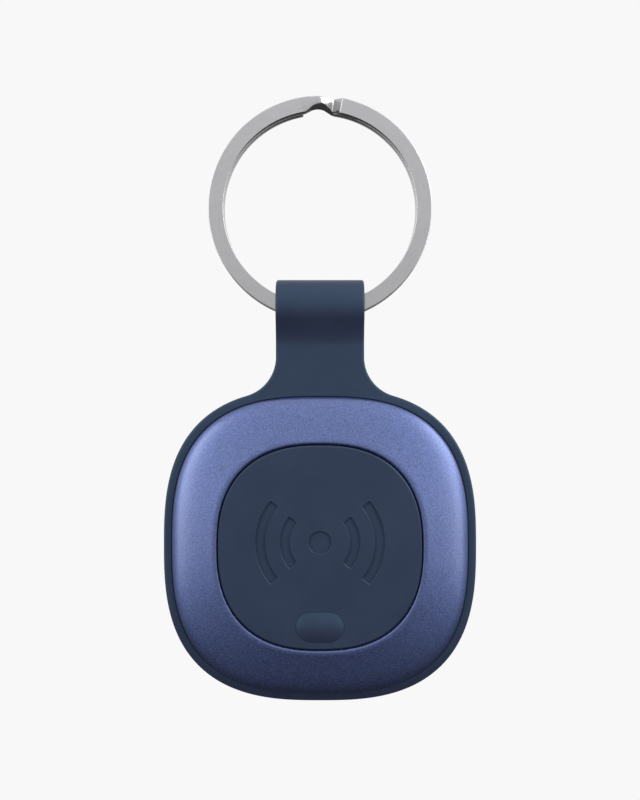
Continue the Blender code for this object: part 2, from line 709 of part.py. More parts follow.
def build_cell():
    """Coin cell: steel can, crimped seal, steel cap, cathode pellet and lithium disc."""
    can_inner = CELL_RADIUS - CELL_SHEET
    can = turned("battery_can", [
        (0, CELL_BACK), (CELL_RADIUS - 0.3 * MM, CELL_BACK), (CELL_RADIUS, CELL_BACK - 0.3 * MM),
        (CELL_RADIUS, CELL_FRONT + 0.25 * MM), (CELL_RADIUS - 0.2 * MM, CELL_FRONT + 0.1 * MM),
        (can_inner - 0.1 * MM, CELL_FRONT + 0.1 * MM), (can_inner, CELL_FRONT + 0.4 * MM),
        (can_inner, CELL_BACK - CELL_SHEET), (0, CELL_BACK - CELL_SHEET)], segments=40)
    shade_smooth(can)
    paint(can, BRIGHT_METAL, 0.25, 1.0)

    gasket_outer = can_inner - BOND_GAP - 0.1 * MM
    gasket_inner = CAP_RADIUS + BOND_GAP
    gasket = turned("battery_gasket", [
        (gasket_inner, 3.0 * MM), (gasket_outer, 3.0 * MM), (gasket_outer, CELL_FRONT + 0.15 * MM),
        (gasket_inner, CELL_FRONT + 0.15 * MM), (gasket_inner, 3.0 * MM)], segments=40)
    shade_smooth(gasket)
    paint(gasket, GRAPHITE, 0.5)

    cap_inner = CAP_RADIUS - CELL_SHEET
    cap = turned("battery_cap", [
        (cap_inner, 2.6 * MM), (CAP_RADIUS, 2.6 * MM), (CAP_RADIUS, CELL_FRONT + 0.25 * MM),
        (CAP_RADIUS - 0.25 * MM, CELL_FRONT), (0, CELL_FRONT), (0, CELL_FRONT + CELL_SHEET),
        (cap_inner, CELL_FRONT + CELL_SHEET), (cap_inner, 2.6 * MM)], segments=40)
    shade_smooth(cap)
    paint(cap, BRIGHT_METAL, 0.3, 1.0)

    anode = rod("battery_anode", 8.2 * MM, 0.7 * MM, 1.5 * MM, segments=32)
    shade_smooth(anode)
    paint(anode, STEEL, 0.6, 0.8)
    cathode = rod("battery_cathode", 8.2 * MM, 1.65 * MM, 3.1 * MM, segments=32)
    shade_smooth(cathode)
    paint(cathode, BLACK, 0.8)


def build_cell_contacts():
    """Leaf under the cell's cap, and a spring finger against the can's side."""
    sheet = 0.15 * MM
    foot = BOARD_BACK + BOND_GAP
    rise = CELL_FRONT - BOND_GAP
    upper = [(-6.0, foot + sheet), (-4.2, foot + sheet), (-1.6, rise), (1.6, rise),
             (4.2, foot + sheet), (6.0, foot + sheet)]
    outline = [(x * MM, depth) for x, depth in upper]
    outline += [(x * MM, depth - sheet) for x, depth in reversed(upper)]
    leaf = bent_strip("negative_contact", outline, 3.0 * MM)
    paint(leaf, BRIGHT_METAL, 0.3, 1.0)

    touch = CELL_RADIUS + BOND_GAP
    post = 11.2 * MM
    toe = 12.4 * MM
    top = 1.9 * MM
    bend = 1.2 * MM
    finger = bent_strip("positive_contact", [
        (toe, foot), (toe, foot + sheet), (post + sheet, foot + sheet), (post + sheet, top + sheet),
        (post, top + sheet), (touch, bend), (touch + sheet, bend - 0.6 * MM),
        (touch + 2 * sheet, bend - 0.6 * MM), (touch + sheet, bend), (post, top - sheet), (post, foot)],
        3.4 * MM)
    paint(finger, BRIGHT_METAL, 0.3, 1.0)


# ---------------------------------------------------------------- electronics

def build_radio():
    """Shielded radio chip, its crystal, a folded antenna and the loose passives."""
    board = BOARD_FRONT - BOND_GAP
    shield_front = -2.3 * MM
    wall = 0.15 * MM
    shield_depth = board - shield_front
    shield = block("radio_shield", (8.4 * MM, shield_depth, 6.8 * MM),
                   (0, (board + shield_front) / 2, 6.2 * MM), edge=0.12 * MM)
    hollow = block("shield_hollow", (8.4 * MM - 2 * wall, shield_depth, 6.8 * MM - 2 * wall),
                   (0, (board + shield_front) / 2 + wall, 6.2 * MM))
    combine(shield, hollow, "DIFFERENCE")
    for row in range(2):
        for column in range(4):
            center = ((column - 1.5) * 1.7 * MM, 6.2 * MM + (row - 0.5) * 3.2 * MM)
            vent = rod(f"shield_vent_{row}_{column}", 0.35 * MM, shield_front - 0.5 * MM,
                       shield_front + 0.4 * MM, center, 12)
            combine(shield, vent, "DIFFERENCE")
    paint(shield, BRIGHT_METAL, 0.35, 1.0)

    chip = block("radio_chip", (4.0 * MM, 0.6 * MM, 4.0 * MM), (-1.2 * MM, board - 0.3 * MM, 6.2 * MM),
                 edge=0.06 * MM)
    paint(chip, BLACK, 0.45)
    crystal = block("crystal", (2.0 * MM, 0.5 * MM, 1.6 * MM), (6.6 * MM, board - 0.25 * MM, 7.2 * MM),
                    edge=0.08 * MM)
    paint(crystal, BRIGHT_METAL, 0.3, 1.0)

    strip = 0.2 * MM
    lift = -2.0 * MM
    antenna = bent_strip("antenna", [
        (6.0 * MM, lift), (6.0 * MM, lift + strip), (-2.8 * MM, lift + strip), (-2.8 * MM, board),
        (-3.0 * MM, board), (-3.0 * MM, lift + strip), (-5.8 * MM, lift + strip), (-5.8 * MM, board),
        (-6.0 * MM, board), (-6.0 * MM, lift)], 1.6 * MM, 14.2 * MM)
    paint(antenna, BRIGHT_METAL, 0.3, 1.0)

    passives = (("supply_capacitor", (3.2 * MM, 1.1 * MM, 1.6 * MM), (-6.4 * MM, -5.4 * MM), GRAPHITE),
                ("filter_capacitor", (1.6 * MM, 0.8 * MM, 0.8 * MM), (6.2 * MM, -4.2 * MM), CERAMIC),
                ("matching_inductor", (1.6 * MM, 0.8 * MM, 0.8 * MM), (-5.6 * MM, 10.6 * MM), GRAPHITE))
    for name, size, (across, up), color in passives:
        piece = block(name, size, (across, board - size[1] / 2, up), edge=0.08 * MM)
        paint(piece, color, 0.5)


def build_switch():
    """Low tactile switch on the board, behind the key's stem."""
    board = BOARD_FRONT - BOND_GAP
    body_front = board - 0.85 * MM
    center = (0, 0)
    body = block("switch_body", (3.4 * MM, 0.85 * MM, 3.0 * MM), (0, board - 0.425 * MM, 0),
                 edge=0.08 * MM, parent=key_axis)
    bore = rod("switch_bore", 0.85 * MM, body_front - 0.5 * MM, body_front + 0.65 * MM, center, 24, key_axis)
    combine(body, bore, "DIFFERENCE")
    paint(body, BLACK, 0.5)

    frame_back = body_front - BOND_GAP
    frame = plate("switch_frame", [rounded_box(3.3 * MM, 2.9 * MM, 0.3 * MM), circle(center, 0.9 * MM, 24)],
                  frame_back - 0.12 * MM, frame_back, parent=key_axis)
    paint(frame, BRIGHT_METAL, 0.3, 1.0)

    plunger = rod("switch_plunger", 0.7 * MM, -2.5 * MM, body_front + 0.3 * MM, center, 24, key_axis)
    shade_smooth(plunger)
    paint(plunger, BRASS, 0.45)


def rounded_box(width, height, corner):
    """Outline of a rectangle with round corners."""
    points = []
    spots = ((1, 1, 0), (-1, 1, 90), (-1, -1, 180), (1, -1, 270))
    for side, end, start_deg in spots:
        center = (side * (width / 2 - corner), end * (height / 2 - corner))
        points += arc(center, corner, start_deg, start_deg + 90, 3)
    return points


def build_sounder():
    """Piezo disc taped behind the pad, and the two fingers that feed it from the board."""
    center = (0, PIEZO_RISE)
    tape_front = PAD_BACK + BOND_GAP
    tape_back = tape_front + 0.1 * MM
    tape = plate("piezo_tape", [circle((0, 0), PIEZO_RADIUS, 40), circle((0, 0), 5.2 * MM, 40)],
                 tape_front, tape_back, center)
    paint(tape, CERAMIC, 0.7)
    plate_front = tape_back + BOND_GAP
    plate_back = plate_front + 0.15 * MM
    disc = rod("piezo_plate", PIEZO_RADIUS, plate_front, plate_back, center, 48)
    shade_smooth(disc)
    paint(disc, BRASS, 0.3, 1.0)
    ceramic_front = plate_back + BOND_GAP
    ceramic_back = ceramic_front + 0.12 * MM
    ceramic = rod("piezo_ceramic", CERAMIC_RADIUS, ceramic_front, ceramic_back, center, 40)
    shade_smooth(ceramic)
    paint(ceramic, CERAMIC, 0.5)

    board = BOARD_FRONT - BOND_GAP
    sheet = 0.12 * MM
    for name, tip_x, side, tip in (("piezo_contact_left", -1.6 * MM, -1, ceramic_back + BOND_GAP),
                                   ("piezo_contact_right", 3.5 * MM, 1, plate_back + BOND_GAP)):
        upper = [(tip_x + side * 4.0 * MM, board - sheet), (tip_x + side * 2.6 * MM, board - sheet),
                 (tip_x + side * 0.3 * MM, tip), (tip_x - side * 0.3 * MM, tip)]
        outline = upper + [(across, depth + sheet) for across, depth in reversed(upper)]
        finger = bent_strip(name, outline, 1.0 * MM, -0.6 * MM)
        paint(finger, BRIGHT_METAL, 0.3, 1.0)


def build_screws():
    """Four pan-head screws with cross recesses, heads at the back."""
    head_top = SCREW_SEAT + 0.65 * MM
    head_seat = SCREW_SEAT + 0.06 * MM
    for number, center in enumerate(corners(SCREW_OFFSET), 1):
        screw = turned(f"cover_screw_{number}", [
            (0, head_top), (SCREW_HEAD_RADIUS * 0.7, head_top - 0.05 * MM),
            (SCREW_HEAD_RADIUS, head_top - 0.3 * MM), (SCREW_HEAD_RADIUS, head_seat),
            (SCREW_SHANK_RADIUS, head_seat), (SCREW_SHANK_RADIUS, SCREW_TIP + 0.4 * MM),
            (SCREW_SHANK_RADIUS * 0.4, SCREW_TIP), (0, SCREW_TIP)], center, 20)
        for label, size in (("slot", (1.1 * MM, 0.6 * MM, 0.22 * MM)),
                            ("cross", (0.22 * MM, 0.6 * MM, 1.1 * MM))):
            recess = block(f"screw_{number}_{label}", size, (center[0], head_top, center[1]))
            combine(screw, recess, "DIFFERENCE")
        shade_smooth(screw)
        paint(screw, STEEL, 0.3, 1.0)


build_key_ring()
build_strap_sleeve()
build_front_cover()
build_rear_cover()
build_center_pad()
build_button_key()
build_battery_door()
build_chassis()
build_circuit_board()
build_cell()
build_cell_contacts()
build_radio()
build_switch()
build_sounder()
build_screws()
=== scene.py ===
import json
import math

import bmesh
import bpy
from mathutils import Matrix, Vector


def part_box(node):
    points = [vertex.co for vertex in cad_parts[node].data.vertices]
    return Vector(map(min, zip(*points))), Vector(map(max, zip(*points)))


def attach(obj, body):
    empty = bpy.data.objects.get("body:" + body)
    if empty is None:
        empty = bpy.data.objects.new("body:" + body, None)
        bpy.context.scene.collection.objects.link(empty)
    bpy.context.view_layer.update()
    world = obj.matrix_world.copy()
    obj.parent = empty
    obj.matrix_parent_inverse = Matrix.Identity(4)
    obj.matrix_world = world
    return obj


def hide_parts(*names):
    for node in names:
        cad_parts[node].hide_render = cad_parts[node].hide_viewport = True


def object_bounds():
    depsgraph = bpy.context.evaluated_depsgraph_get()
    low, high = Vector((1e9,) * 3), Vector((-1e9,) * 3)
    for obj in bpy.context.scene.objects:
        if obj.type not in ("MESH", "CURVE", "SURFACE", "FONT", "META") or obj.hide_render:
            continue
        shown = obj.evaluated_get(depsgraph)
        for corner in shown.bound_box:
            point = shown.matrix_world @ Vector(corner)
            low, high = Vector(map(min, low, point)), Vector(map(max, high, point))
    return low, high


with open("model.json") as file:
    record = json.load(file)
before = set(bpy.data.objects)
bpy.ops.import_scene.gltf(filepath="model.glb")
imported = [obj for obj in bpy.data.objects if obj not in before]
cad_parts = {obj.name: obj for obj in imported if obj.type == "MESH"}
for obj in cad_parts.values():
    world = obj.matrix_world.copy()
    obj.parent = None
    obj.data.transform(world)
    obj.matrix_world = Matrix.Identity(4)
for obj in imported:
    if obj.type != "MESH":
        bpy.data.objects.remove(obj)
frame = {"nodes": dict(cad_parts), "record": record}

# Looks of the tracker tag. Metres, +Z up, the front faces -Y. Depths run along +Y, so a negative
# depth is nearer the front. Sizes repeat the solid model's; places come from its boxes.
CAD_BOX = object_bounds()
MM = 0.001

ring_low, ring_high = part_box("key_ring")
sleeve_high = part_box("strap_sleeve")[1]
cover_low, cover_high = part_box("front_cover")
key_low, key_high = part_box("button_key")
door_low, door_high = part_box("battery_door")
rear_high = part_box("rear_cover")[1]
pad_low, pad_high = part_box("center_pad")
cell_low, cell_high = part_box("battery_can")
seal_low, seal_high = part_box("door_seal")

RING_OUTER = ring_high.x
WIRE_WIDTH = 1.9 * MM
RING_CENTER = Vector((0, 0, WIRE_WIDTH - RING_OUTER))
BODY_CENTER = Vector((0, 0, (cover_low.z + cover_high.z) / 2))
SLEEVE_HALF = sleeve_high.x
COVER_HALF = cover_high.x
LOOP_RADIUS = sleeve_high.y
PIVOT = Vector((0, 0, sleeve_high.z - LOOP_RADIUS))
KEY_CENTER = Vector((0, 0, sum(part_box("switch_body")[i].z for i in (0, 1)) / 2))

BODY_POWER = 2.75
OUTLINE_POINTS = 240


# ---------------------------------------------------------------- mesh helpers

# Points closer than this are one point: as built, and after a cut.
SAME_POINT = 0.0001 * MM
WELD = 0.0004 * MM
SIDE_SHARE = 0.45


def rounded_square(half, power, count=OUTLINE_POINTS):
    """Points of |x|^p + |z|^p = half^p, evenly spread by angle."""
    points = []
    for index in range(count):
        angle = 2 * math.pi * index / count
        across, up = math.cos(angle), math.sin(angle)
        radius = half / (abs(across) ** power + abs(up) ** power) ** (1 / power)
        points.append((radius * across, radius * up))
    return points


def arc(center, radius, start_deg, end_deg, steps):
    """Points of an arc, both ends included."""
    points = []
    for index in range(steps + 1):
        angle = math.radians(start_deg + (end_deg - start_deg) * index / steps)
        points.append((center[0] + radius * math.cos(angle), center[1] + radius * math.sin(angle)))
    return points


def circle(center, radius, steps=64):
    return arc(center, radius, 0, 360, steps)[:-1]


def stadium(half_width, half_height, steps=24):
    """A closed outline with straight top and bottom and round ends."""
    reach = half_width - half_height
    return arc((reach, 0), half_height, -90, 90, steps) + arc((-reach, 0), half_height, 90, 270, steps)


def bezier(start, lead, trail, end, steps):
    """Points of a cubic curve that leaves start towards lead and reaches end from trail."""
    points = []
    for index in range(steps + 1):
        t = index / steps
        weights = ((1 - t) ** 3, 3 * t * (1 - t) ** 2, 3 * t * t * (1 - t), t ** 3)
        controls = (start, lead, trail, end)
        points.append(tuple(sum(w * p[axis] for w, p in zip(weights, controls)) for axis in (0, 1)))
    return points


def fillet(corners, reach, steps=5):
    """A closed outline with each corner rounded off over a reach along both of its sides."""
    points = []
    for index, here in enumerate(corners):
        here = Vector(here)
        before = Vector(corners[index - 1]) - here
        after = Vector(corners[(index + 1) % len(corners)]) - here
        first = here + before.normalized() * min(reach, before.length * SIDE_SHARE)
        last = here + after.normalized() * min(reach, after.length * SIDE_SHARE)
        for step in range(steps + 1):
            t = step / steps
            points.append(tuple(first * (1 - t) ** 2 + here * 2 * t * (1 - t) + last * t * t))
    return points


def link(name, mesh, place=(0, 0, 0), rotation=(0, 0, 0)):
    piece = bpy.data.objects.new(name, mesh)
    piece.location = place
    piece.rotation_euler = rotation
    bpy.context.scene.collection.objects.link(piece)
    return piece


def mesh_of(name, build):
    """A mesh made by a function that fills a bmesh; its faces are pointed outward."""
    mesh = bpy.data.meshes.new(name)
    shape = bmesh.new()
    build(shape)
    bmesh.ops.remove_doubles(shape, verts=shape.verts, dist=SAME_POINT)
    bmesh.ops.recalc_face_normals(shape, faces=shape.faces)
    shape.to_mesh(mesh)
    shape.free()
    return mesh


def skin(shape, loops, closed):
    """Faces between stacked loops of equal length; closed on itself, or with a cap at each end."""
    rows = [[shape.verts.new(point) for point in loop] for loop in loops]
    pairs = list(zip(rows, rows[1:]))
    if closed:
        pairs.append((rows[-1], rows[0]))
    else:
        shape.faces.new(rows[0])
        shape.faces.new(rows[-1])
    for lower, upper in pairs:
        for index in range(len(lower)):
            after = (index + 1) % len(lower)
            shape.faces.new((lower[index], lower[after], upper[after], upper[index]))


def loft(name, sections, closed, place=BODY_CENTER):
    """A skin over stacked outlines: each section is its outline and its depth."""
    loops = [[(x, depth, z) for x, z in outline] for outline, depth in sections]
    return link(name, mesh_of(name, lambda shape: skin(shape, loops, closed)), place)


def squares(sections):
    return [(rounded_square(half, power), depth) for half, power, depth in sections]


def turned(name, profile, place, steps=96):
    """A solid turned about a front-to-back axis from (radius, depth) points."""
    def build(shape):
        verts = [shape.verts.new((radius, depth, 0)) for radius, depth in profile]
        edges = [shape.edges.new(pair) for pair in zip(verts, verts[1:])]
        bmesh.ops.spin(shape, geom=verts + edges, cent=(0, 0, 0), axis=(0, 1, 0),
                       angle=2 * math.pi, steps=steps, use_merge=True)
    return link(name, mesh_of(name, build), place)


def drawn(name, outlines, thickness, place, rotation, edge, rounds=3):
    """Closed outlines drawn out to both sides of their plane, with rounded edges; inner ones are holes."""
    curve = bpy.data.curves.new(name, "CURVE")
    curve.dimensions = "2D"
    curve.fill_mode = "BOTH"
    curve.extrude = thickness / 2 - edge
    curve.bevel_depth = edge
    curve.bevel_resolution = rounds
    curve.offset = -edge
    for outline in outlines:
        spline = curve.splines.new("POLY")
        spline.points.add(len(outline) - 1)
        for point, (first, second) in zip(spline.points, outline):
            point.co = (first, second, 0, 1)
        spline.use_cyclic_u = True
    source = link(name + "_outline", curve)
    bpy.context.view_layer.update()
    mesh = bpy.data.meshes.new_from_object(source.evaluated_get(bpy.context.evaluated_depsgraph_get()))
    bpy.data.objects.remove(source, do_unlink=True)
    shape = bmesh.new()
    shape.from_mesh(mesh)
    bmesh.ops.remove_doubles(shape, verts=shape.verts, dist=SAME_POINT)
    bmesh.ops.recalc_face_normals(shape, faces=shape.faces)
    shape.to_mesh(mesh)
    shape.free()
    mesh.materials.clear()
    return link(name, mesh, place, rotation)


def plate(name, outlines, front, back, center, edge=0.0, rounds=3):
    """A flat piece facing front and back; center is a point of which only x and z are used."""
    place = (center[0], (front + back) / 2, center[2])
    return drawn(name, outlines, back - front, place, (math.pi / 2, 0, 0), edge, rounds)


def rod(name, radius, front, back, center, steps=40):
    return turned(name, [(0, back), (radius, back), (radius, front), (0, front)], center, steps)


def block(name, size, center, edge=0.0):
    def build(shape):
        bmesh.ops.create_cube(shape, size=1.0, matrix=Matrix.Diagonal((*size, 1.0)))
        if edge:
            bmesh.ops.bevel(shape, geom=list(shape.edges), offset=edge, segments=3, profile=0.5,
                            affect="EDGES")
    return link(name, mesh_of(name, build), center)


def carve(piece, steps):
    """Cut pieces out of, or join them on to, a piece, in order, and keep the finished mesh."""
    for operation, other in steps:
        modifier = piece.modifiers.new(other.name, "BOOLEAN")
        modifier.operation = operation
        modifier.solver = "EXACT"
        modifier.object = other
    bpy.context.view_layer.update()
    mesh = bpy.data.meshes.new_from_object(piece.evaluated_get(bpy.context.evaluated_depsgraph_get()))
    shape = bmesh.new()
    shape.from_mesh(mesh)
    bmesh.ops.remove_doubles(shape, verts=shape.verts, dist=WELD)
    bmesh.ops.dissolve_degenerate(shape, edges=shape.edges, dist=WELD)
    shape.to_mesh(mesh)
    shape.free()
    piece.modifiers.clear()
    piece.data = mesh
    for _, other in steps:
        bpy.data.objects.remove(other, do_unlink=True)
    return piece


def finish_piece(piece, body, look, nodes, sharp_deg=32.0):
    """Smooth shading that keeps flats flat, one material, the piece's body, and its CAD nodes hidden."""
    piece.data.shade_smooth()
    piece.data.set_sharp_from_angle(angle=math.radians(sharp_deg))
    weigh = piece.modifiers.new("flats", "WEIGHTED_NORMAL")
    weigh.keep_sharp = True
    piece.data.materials.clear()
    piece.data.materials.append(look)
    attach(piece, body)
    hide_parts(*nodes)
    return piece


# ---------------------------------------------------------------- materials

class Look:
    """A Principled material with short calls for the nodes used here."""

    def __init__(self, name, roughness, metallic=0.0, **sockets):
        self.material = bpy.data.materials.new(name)
        self.material.use_nodes = True
        self.tree = self.material.node_tree
        self.shader = self.tree.nodes["Principled BSDF"]
        self.shader.inputs["Roughness"].default_value = roughness
        self.shader.inputs["Metallic"].default_value = metallic
        for socket, value in sockets.items():
            self.shader.inputs[socket.replace("_", " ")].default_value = value
        self.place = self.add("TexCoord").outputs["Object"]

    def add(self, kind, **settings):
        node = self.tree.nodes.new("ShaderNode" + kind)
        for name, value in settings.items():
            setattr(node, name, value)
        return node

    def join(self, output, socket):
        self.tree.links.new(output, socket)

    def noise(self, scale, detail=2.0, rough=0.5, place=None):
        node = self.add("TexNoise")
        node.inputs["Scale"].default_value = scale
        node.inputs["Detail"].default_value = detail
        node.inputs["Roughness"].default_value = rough
        self.join(place or self.place, node.inputs["Vector"])
        return node.outputs["Fac"]

    def ramp(self, value, stops):
        node = self.add("ValToRGB")
        elements = node.color_ramp.elements
        for index, (position, color) in enumerate(stops):
            element = elements[index] if index < 2 else elements.new(position)
            element.position = position
            element.color = (*color, 1.0)
        self.join(value, node.inputs["Fac"])
        return node.outputs["Color"]

    def scaled(self, value, low, high, start=0.0, end=1.0):
        node = self.add("MapRange")
        node.inputs["From Min"].default_value = start
        node.inputs["From Max"].default_value = end
        node.inputs["To Min"].default_value = low
        node.inputs["To Max"].default_value = high
        self.join(value, node.inputs["Value"])
        return node.outputs["Result"]

    def mixed(self, factor, first, second, blend="MIX"):
        """Mix two colours; each is an output or a plain colour."""
        node = self.add("Mix", data_type="RGBA", blend_type=blend)
        for value, socket in ((factor, node.inputs["Factor"]), (first, node.inputs["A"]),
                              (second, node.inputs["B"])):
            if hasattr(value, "links"):
                self.join(value, socket)
            else:
                socket.default_value = value if socket.type == "VALUE" else (*value, 1.0)
        return node.outputs["Result"]

    def math(self, operation, first, second=0.0):
        node = self.add("Math", operation=operation)
        for value, socket in ((first, node.inputs[0]), (second, node.inputs[1])):
            if hasattr(value, "links"):
                self.join(value, socket)
            else:
                socket.default_value = value
        return node.outputs["Value"]

    def color(self, output):
        self.join(output, self.shader.inputs["Base Color"])

    def roughness(self, output):
        self.join(output, self.shader.inputs["Roughness"])

    def bump(self, height, distance, strength=1.0, under=None):
        node = self.add("Bump")
        node.inputs["Distance"].default_value = distance
        node.inputs["Strength"].default_value = strength
        self.join(height, node.inputs["Height"])
        if under:
            self.join(under, node.inputs["Normal"])
        self.join(node.outputs["Normal"], self.shader.inputs["Normal"])
        return node.outputs["Normal"]


def tinted(base, share):
    return tuple(channel * share for channel in base)


def moulded(name, base, roughness, grain, spread=0.12, depth=0.004, **sockets):
    """Matt moulded surface: fine grain in the relief, slow tone and gloss drift across it."""
    look = Look(name, roughness, **sockets)
    fine = look.noise(grain, 3.0, 0.6)
    slow = look.noise(170.0, 3.0, 0.55)
    tone = look.ramp(slow, [(0.3, tinted(base, 1 - spread)), (0.7, tinted(base, 1 + spread))])
    speck = look.ramp(fine, [(0.35, tinted(base, 0.8)), (0.65, tinted(base, 1.2))])
    look.color(look.mixed(0.35, tone, speck))
    look.roughness(look.scaled(slow, roughness - 0.05, roughness + 0.05, 0.3, 0.7))
    look.bump(fine, depth * MM, 0.6)
    return look.material


MARK_DRAW = 1.1 * MM    # a radian round the axis counts as this far in the marks


def metal(name, base, roughness, grain, spread=0.08, depth=0.002, around=False):
    """Bare metal with fine marks, drawn out round the object's axis where around is true."""
    look = Look(name, roughness, 1.0)
    place = look.place
    if around:
        split = look.add("SeparateXYZ")
        look.join(place, split.inputs["Vector"])
        square = look.math("ADD", look.math("MULTIPLY", split.outputs["X"], split.outputs["X"]),
                           look.math("MULTIPLY", split.outputs["Z"], split.outputs["Z"]))
        turn = look.math("ARCTAN2", split.outputs["X"], split.outputs["Z"])
        joined = look.add("CombineXYZ")
        look.join(look.math("POWER", square, 0.5), joined.inputs["X"])
        look.join(look.math("MULTIPLY", turn, MARK_DRAW), joined.inputs["Y"])
        look.join(split.outputs["Y"], joined.inputs["Z"])
        place = joined.outputs["Vector"]
    fine = look.noise(grain, 3.0, 0.6, place)
    slow = look.noise(260.0, 2.0, 0.5)
    tone = look.ramp(fine, [(0.3, tinted(base, 1 - spread)), (0.7, tinted(base, 1 + spread))])
    drift = look.ramp(slow, [(0.3, tinted(base, 0.94)), (0.7, tinted(base, 1.05))])
    look.color(look.mixed(0.3, tone, drift))
    look.roughness(look.scaled(fine, roughness - 0.05, roughness + 0.06, 0.3, 0.7))
    look.bump(fine, depth * MM, 0.5)
    return look.material


def anodised(name, base, roughness, metallic):
    """Bead-blasted, dyed metal: bright and dark specks a tenth of a millimetre across."""
    look = Look(name, roughness, metallic, Coat_Weight=1.0, Coat_Roughness=0.30, Coat_IOR=1.64)
    grain = look.noise(6500.0, 2.0, 0.6)
    coarse = look.noise(2600.0, 2.0, 0.5)
    tone = look.ramp(grain, [(0.28, tinted(base, 0.45)), (0.5, base), (0.74, tinted(base, 1.75))])
    soft = look.ramp(coarse, [(0.3, tinted(base, 0.86)), (0.7, tinted(base, 1.14))])
    look.color(look.mixed(0.25, tone, soft))
    look.roughness(look.scaled(grain, roughness - 0.06, roughness + 0.06, 0.3, 0.7))
    look.bump(grain, 0.02 * MM, 0.6)
    return look.material


def board_finish():
    """Solder mask over copper tracks, with bare pads between."""
    look = Look("solder_mask", 0.35)
    cells = look.add("TexVoronoi", feature="DISTANCE_TO_EDGE", distance="CHEBYCHEV")
    cells.inputs["Scale"].default_value = 620.0
    look.join(look.place, cells.inputs["Vector"])
    track = look.math("LESS_THAN", cells.outputs["Distance"], 0.07)
    green = look.ramp(look.noise(900.0), [(0.3, (0.004, 0.050, 0.026)), (0.7, (0.006, 0.072, 0.036))])
    look.color(look.mixed(track, green, (0.020, 0.130, 0.060)))
    look.bump(track, 0.03 * MM, 0.7)
    return look.material


NAVY = (0.0300, 0.0350, 0.0715)
TEAL = (0.33, 0.85, 1.00, 1.0)
BLUE = (0.096, 0.142, 0.350)

LOOKS = {
    "polished_steel": metal("satin_steel", (0.560, 0.560, 0.563), 0.22, 9000.0, around=True),
    "navy_silicone": moulded("navy_silicone", NAVY, 0.44, 9000.0, Specular_IOR_Level=0.46,
                             Specular_Tint=TEAL),
    "blue_aluminium": anodised("anodised_blue", BLUE, 0.48, 1.0),
    "blue_lacquer": anodised("flake_lacquer", BLUE, 0.48, 0.95),
    "navy_soft_touch": moulded("navy_soft_touch", NAVY, 0.44, 7000.0, Specular_IOR_Level=0.44,
                               Specular_Tint=TEAL),
    "navy_door": moulded("navy_door", (0.022, 0.032, 0.058), 0.58, 5200.0, depth=0.010),
    "black_rubber": moulded("black_rubber", (0.012, 0.012, 0.014), 0.62, 6000.0),
    "black_plastic": moulded("black_plastic", (0.014, 0.014, 0.016), 0.55, 4200.0, depth=0.008),
    "board": board_finish(),
    "nickel_steel": metal("nickel_steel", (0.720, 0.710, 0.690), 0.26, 5200.0),
    "cathode": moulded("pressed_powder", (0.010, 0.010, 0.010), 0.85, 5200.0, 0.35, 0.02),
    "lithium": metal("lithium", (0.480, 0.480, 0.490), 0.58, 3000.0, 0.2, 0.01),
    "grey_ceramic": moulded("grey_ceramic", (0.110, 0.095, 0.075), 0.60, 5200.0, 0.2),
    "white_plastic": moulded("white_plastic", (0.700, 0.690, 0.640), 0.55, 4200.0, 0.05),
    "brass_sheet": metal("brass_sheet", (0.700, 0.500, 0.220), 0.30, 5200.0),
    "white_ceramic": moulded("white_ceramic", (0.720, 0.700, 0.630), 0.48, 5200.0, 0.06),
    "screw_steel": metal("screw_steel", (0.420, 0.420, 0.430), 0.34, 6500.0),
}


# ---------------------------------------------------------------- key ring

COIL_FRONT = ring_low.y
COIL_GAP = 0.10 * MM
FRONT_CUT_DEG = 11.6
REAR_CUT_DEG = 710.1
CUT_SLANT_DEG = 4.0
CUT_SLANT_FADE_DEG = 12
CUT_EDGE_DEG = 0.3
CUT_INSET = 0.07
PLAIN_STEP_DEG = 2.0
CRANK_STEP_DEG = 0.4
WIRE_EDGE = 0.09 * MM

# The crank from the front coil to the rear one, as tracks of the wire's edges. Each row is an angle
# clockwise from the top, then (radius, depth) in mm of the front-outer edge, the fold across the face,
# and the front-inner, rear-inner and rear-outer edges.
CRANK = (
    (-8.8, (14.00, -1.20), (13.70, -1.20), (12.10, -1.20), (12.10, -0.05), (14.00, -0.05)),
    (-6.6, (14.00, -1.20), (13.74, -1.20), (12.36, -1.20), (12.28, 0.02), (14.00, 0.05)),
    (-4.4, (14.00, -1.16), (13.78, -1.20), (12.72, -1.20), (12.50, 0.14), (14.00, 0.16)),
    (-1.1, (13.98, -1.17), (13.90, -1.20), (13.00, -1.18), (12.64, 0.34), (14.00, 0.46)),
    (1.9, (13.97, -0.90), (13.62, -0.96), (13.08, -1.02), (12.58, 0.60), (14.00, 0.82)),
    (4.6, (13.98, -0.40), (12.95, -0.47), (12.74, -0.42), (12.36, 0.92), (14.00, 1.08)),
    (6.8, (14.00, -0.02), (12.45, -0.08), (12.38, 0.05), (12.18, 1.14), (14.00, 1.18)),
    (8.8, (14.00, 0.05), (12.20, 0.05), (12.10, 0.05), (12.10, 1.20), (14.00, 1.20)),
)


def crank_corners(turn):
    """The wire's edges at an angle, between the rows of the table."""
    turn = min(max(turn, CRANK[0][0]), CRANK[-1][0])
    index = max(i for i in range(len(CRANK) - 1) if CRANK[i][0] <= turn)
    rows = [CRANK[max(index - 1, 0)], CRANK[index], CRANK[index + 1], CRANK[min(index + 2, len(CRANK) - 1)]]
    t = (turn - rows[1][0]) / (rows[2][0] - rows[1][0])
    weights = (-0.5 * t + t * t - 0.5 * t ** 3, 1 - 2.5 * t * t + 1.5 * t ** 3,
               0.5 * t + 2 * t * t - 1.5 * t ** 3, -0.5 * t * t + 0.5 * t ** 3)
    return [tuple(sum(w * row[corner][axis] for w, row in zip(weights, rows)) * MM for axis in (0, 1))
            for corner in range(1, 6)]


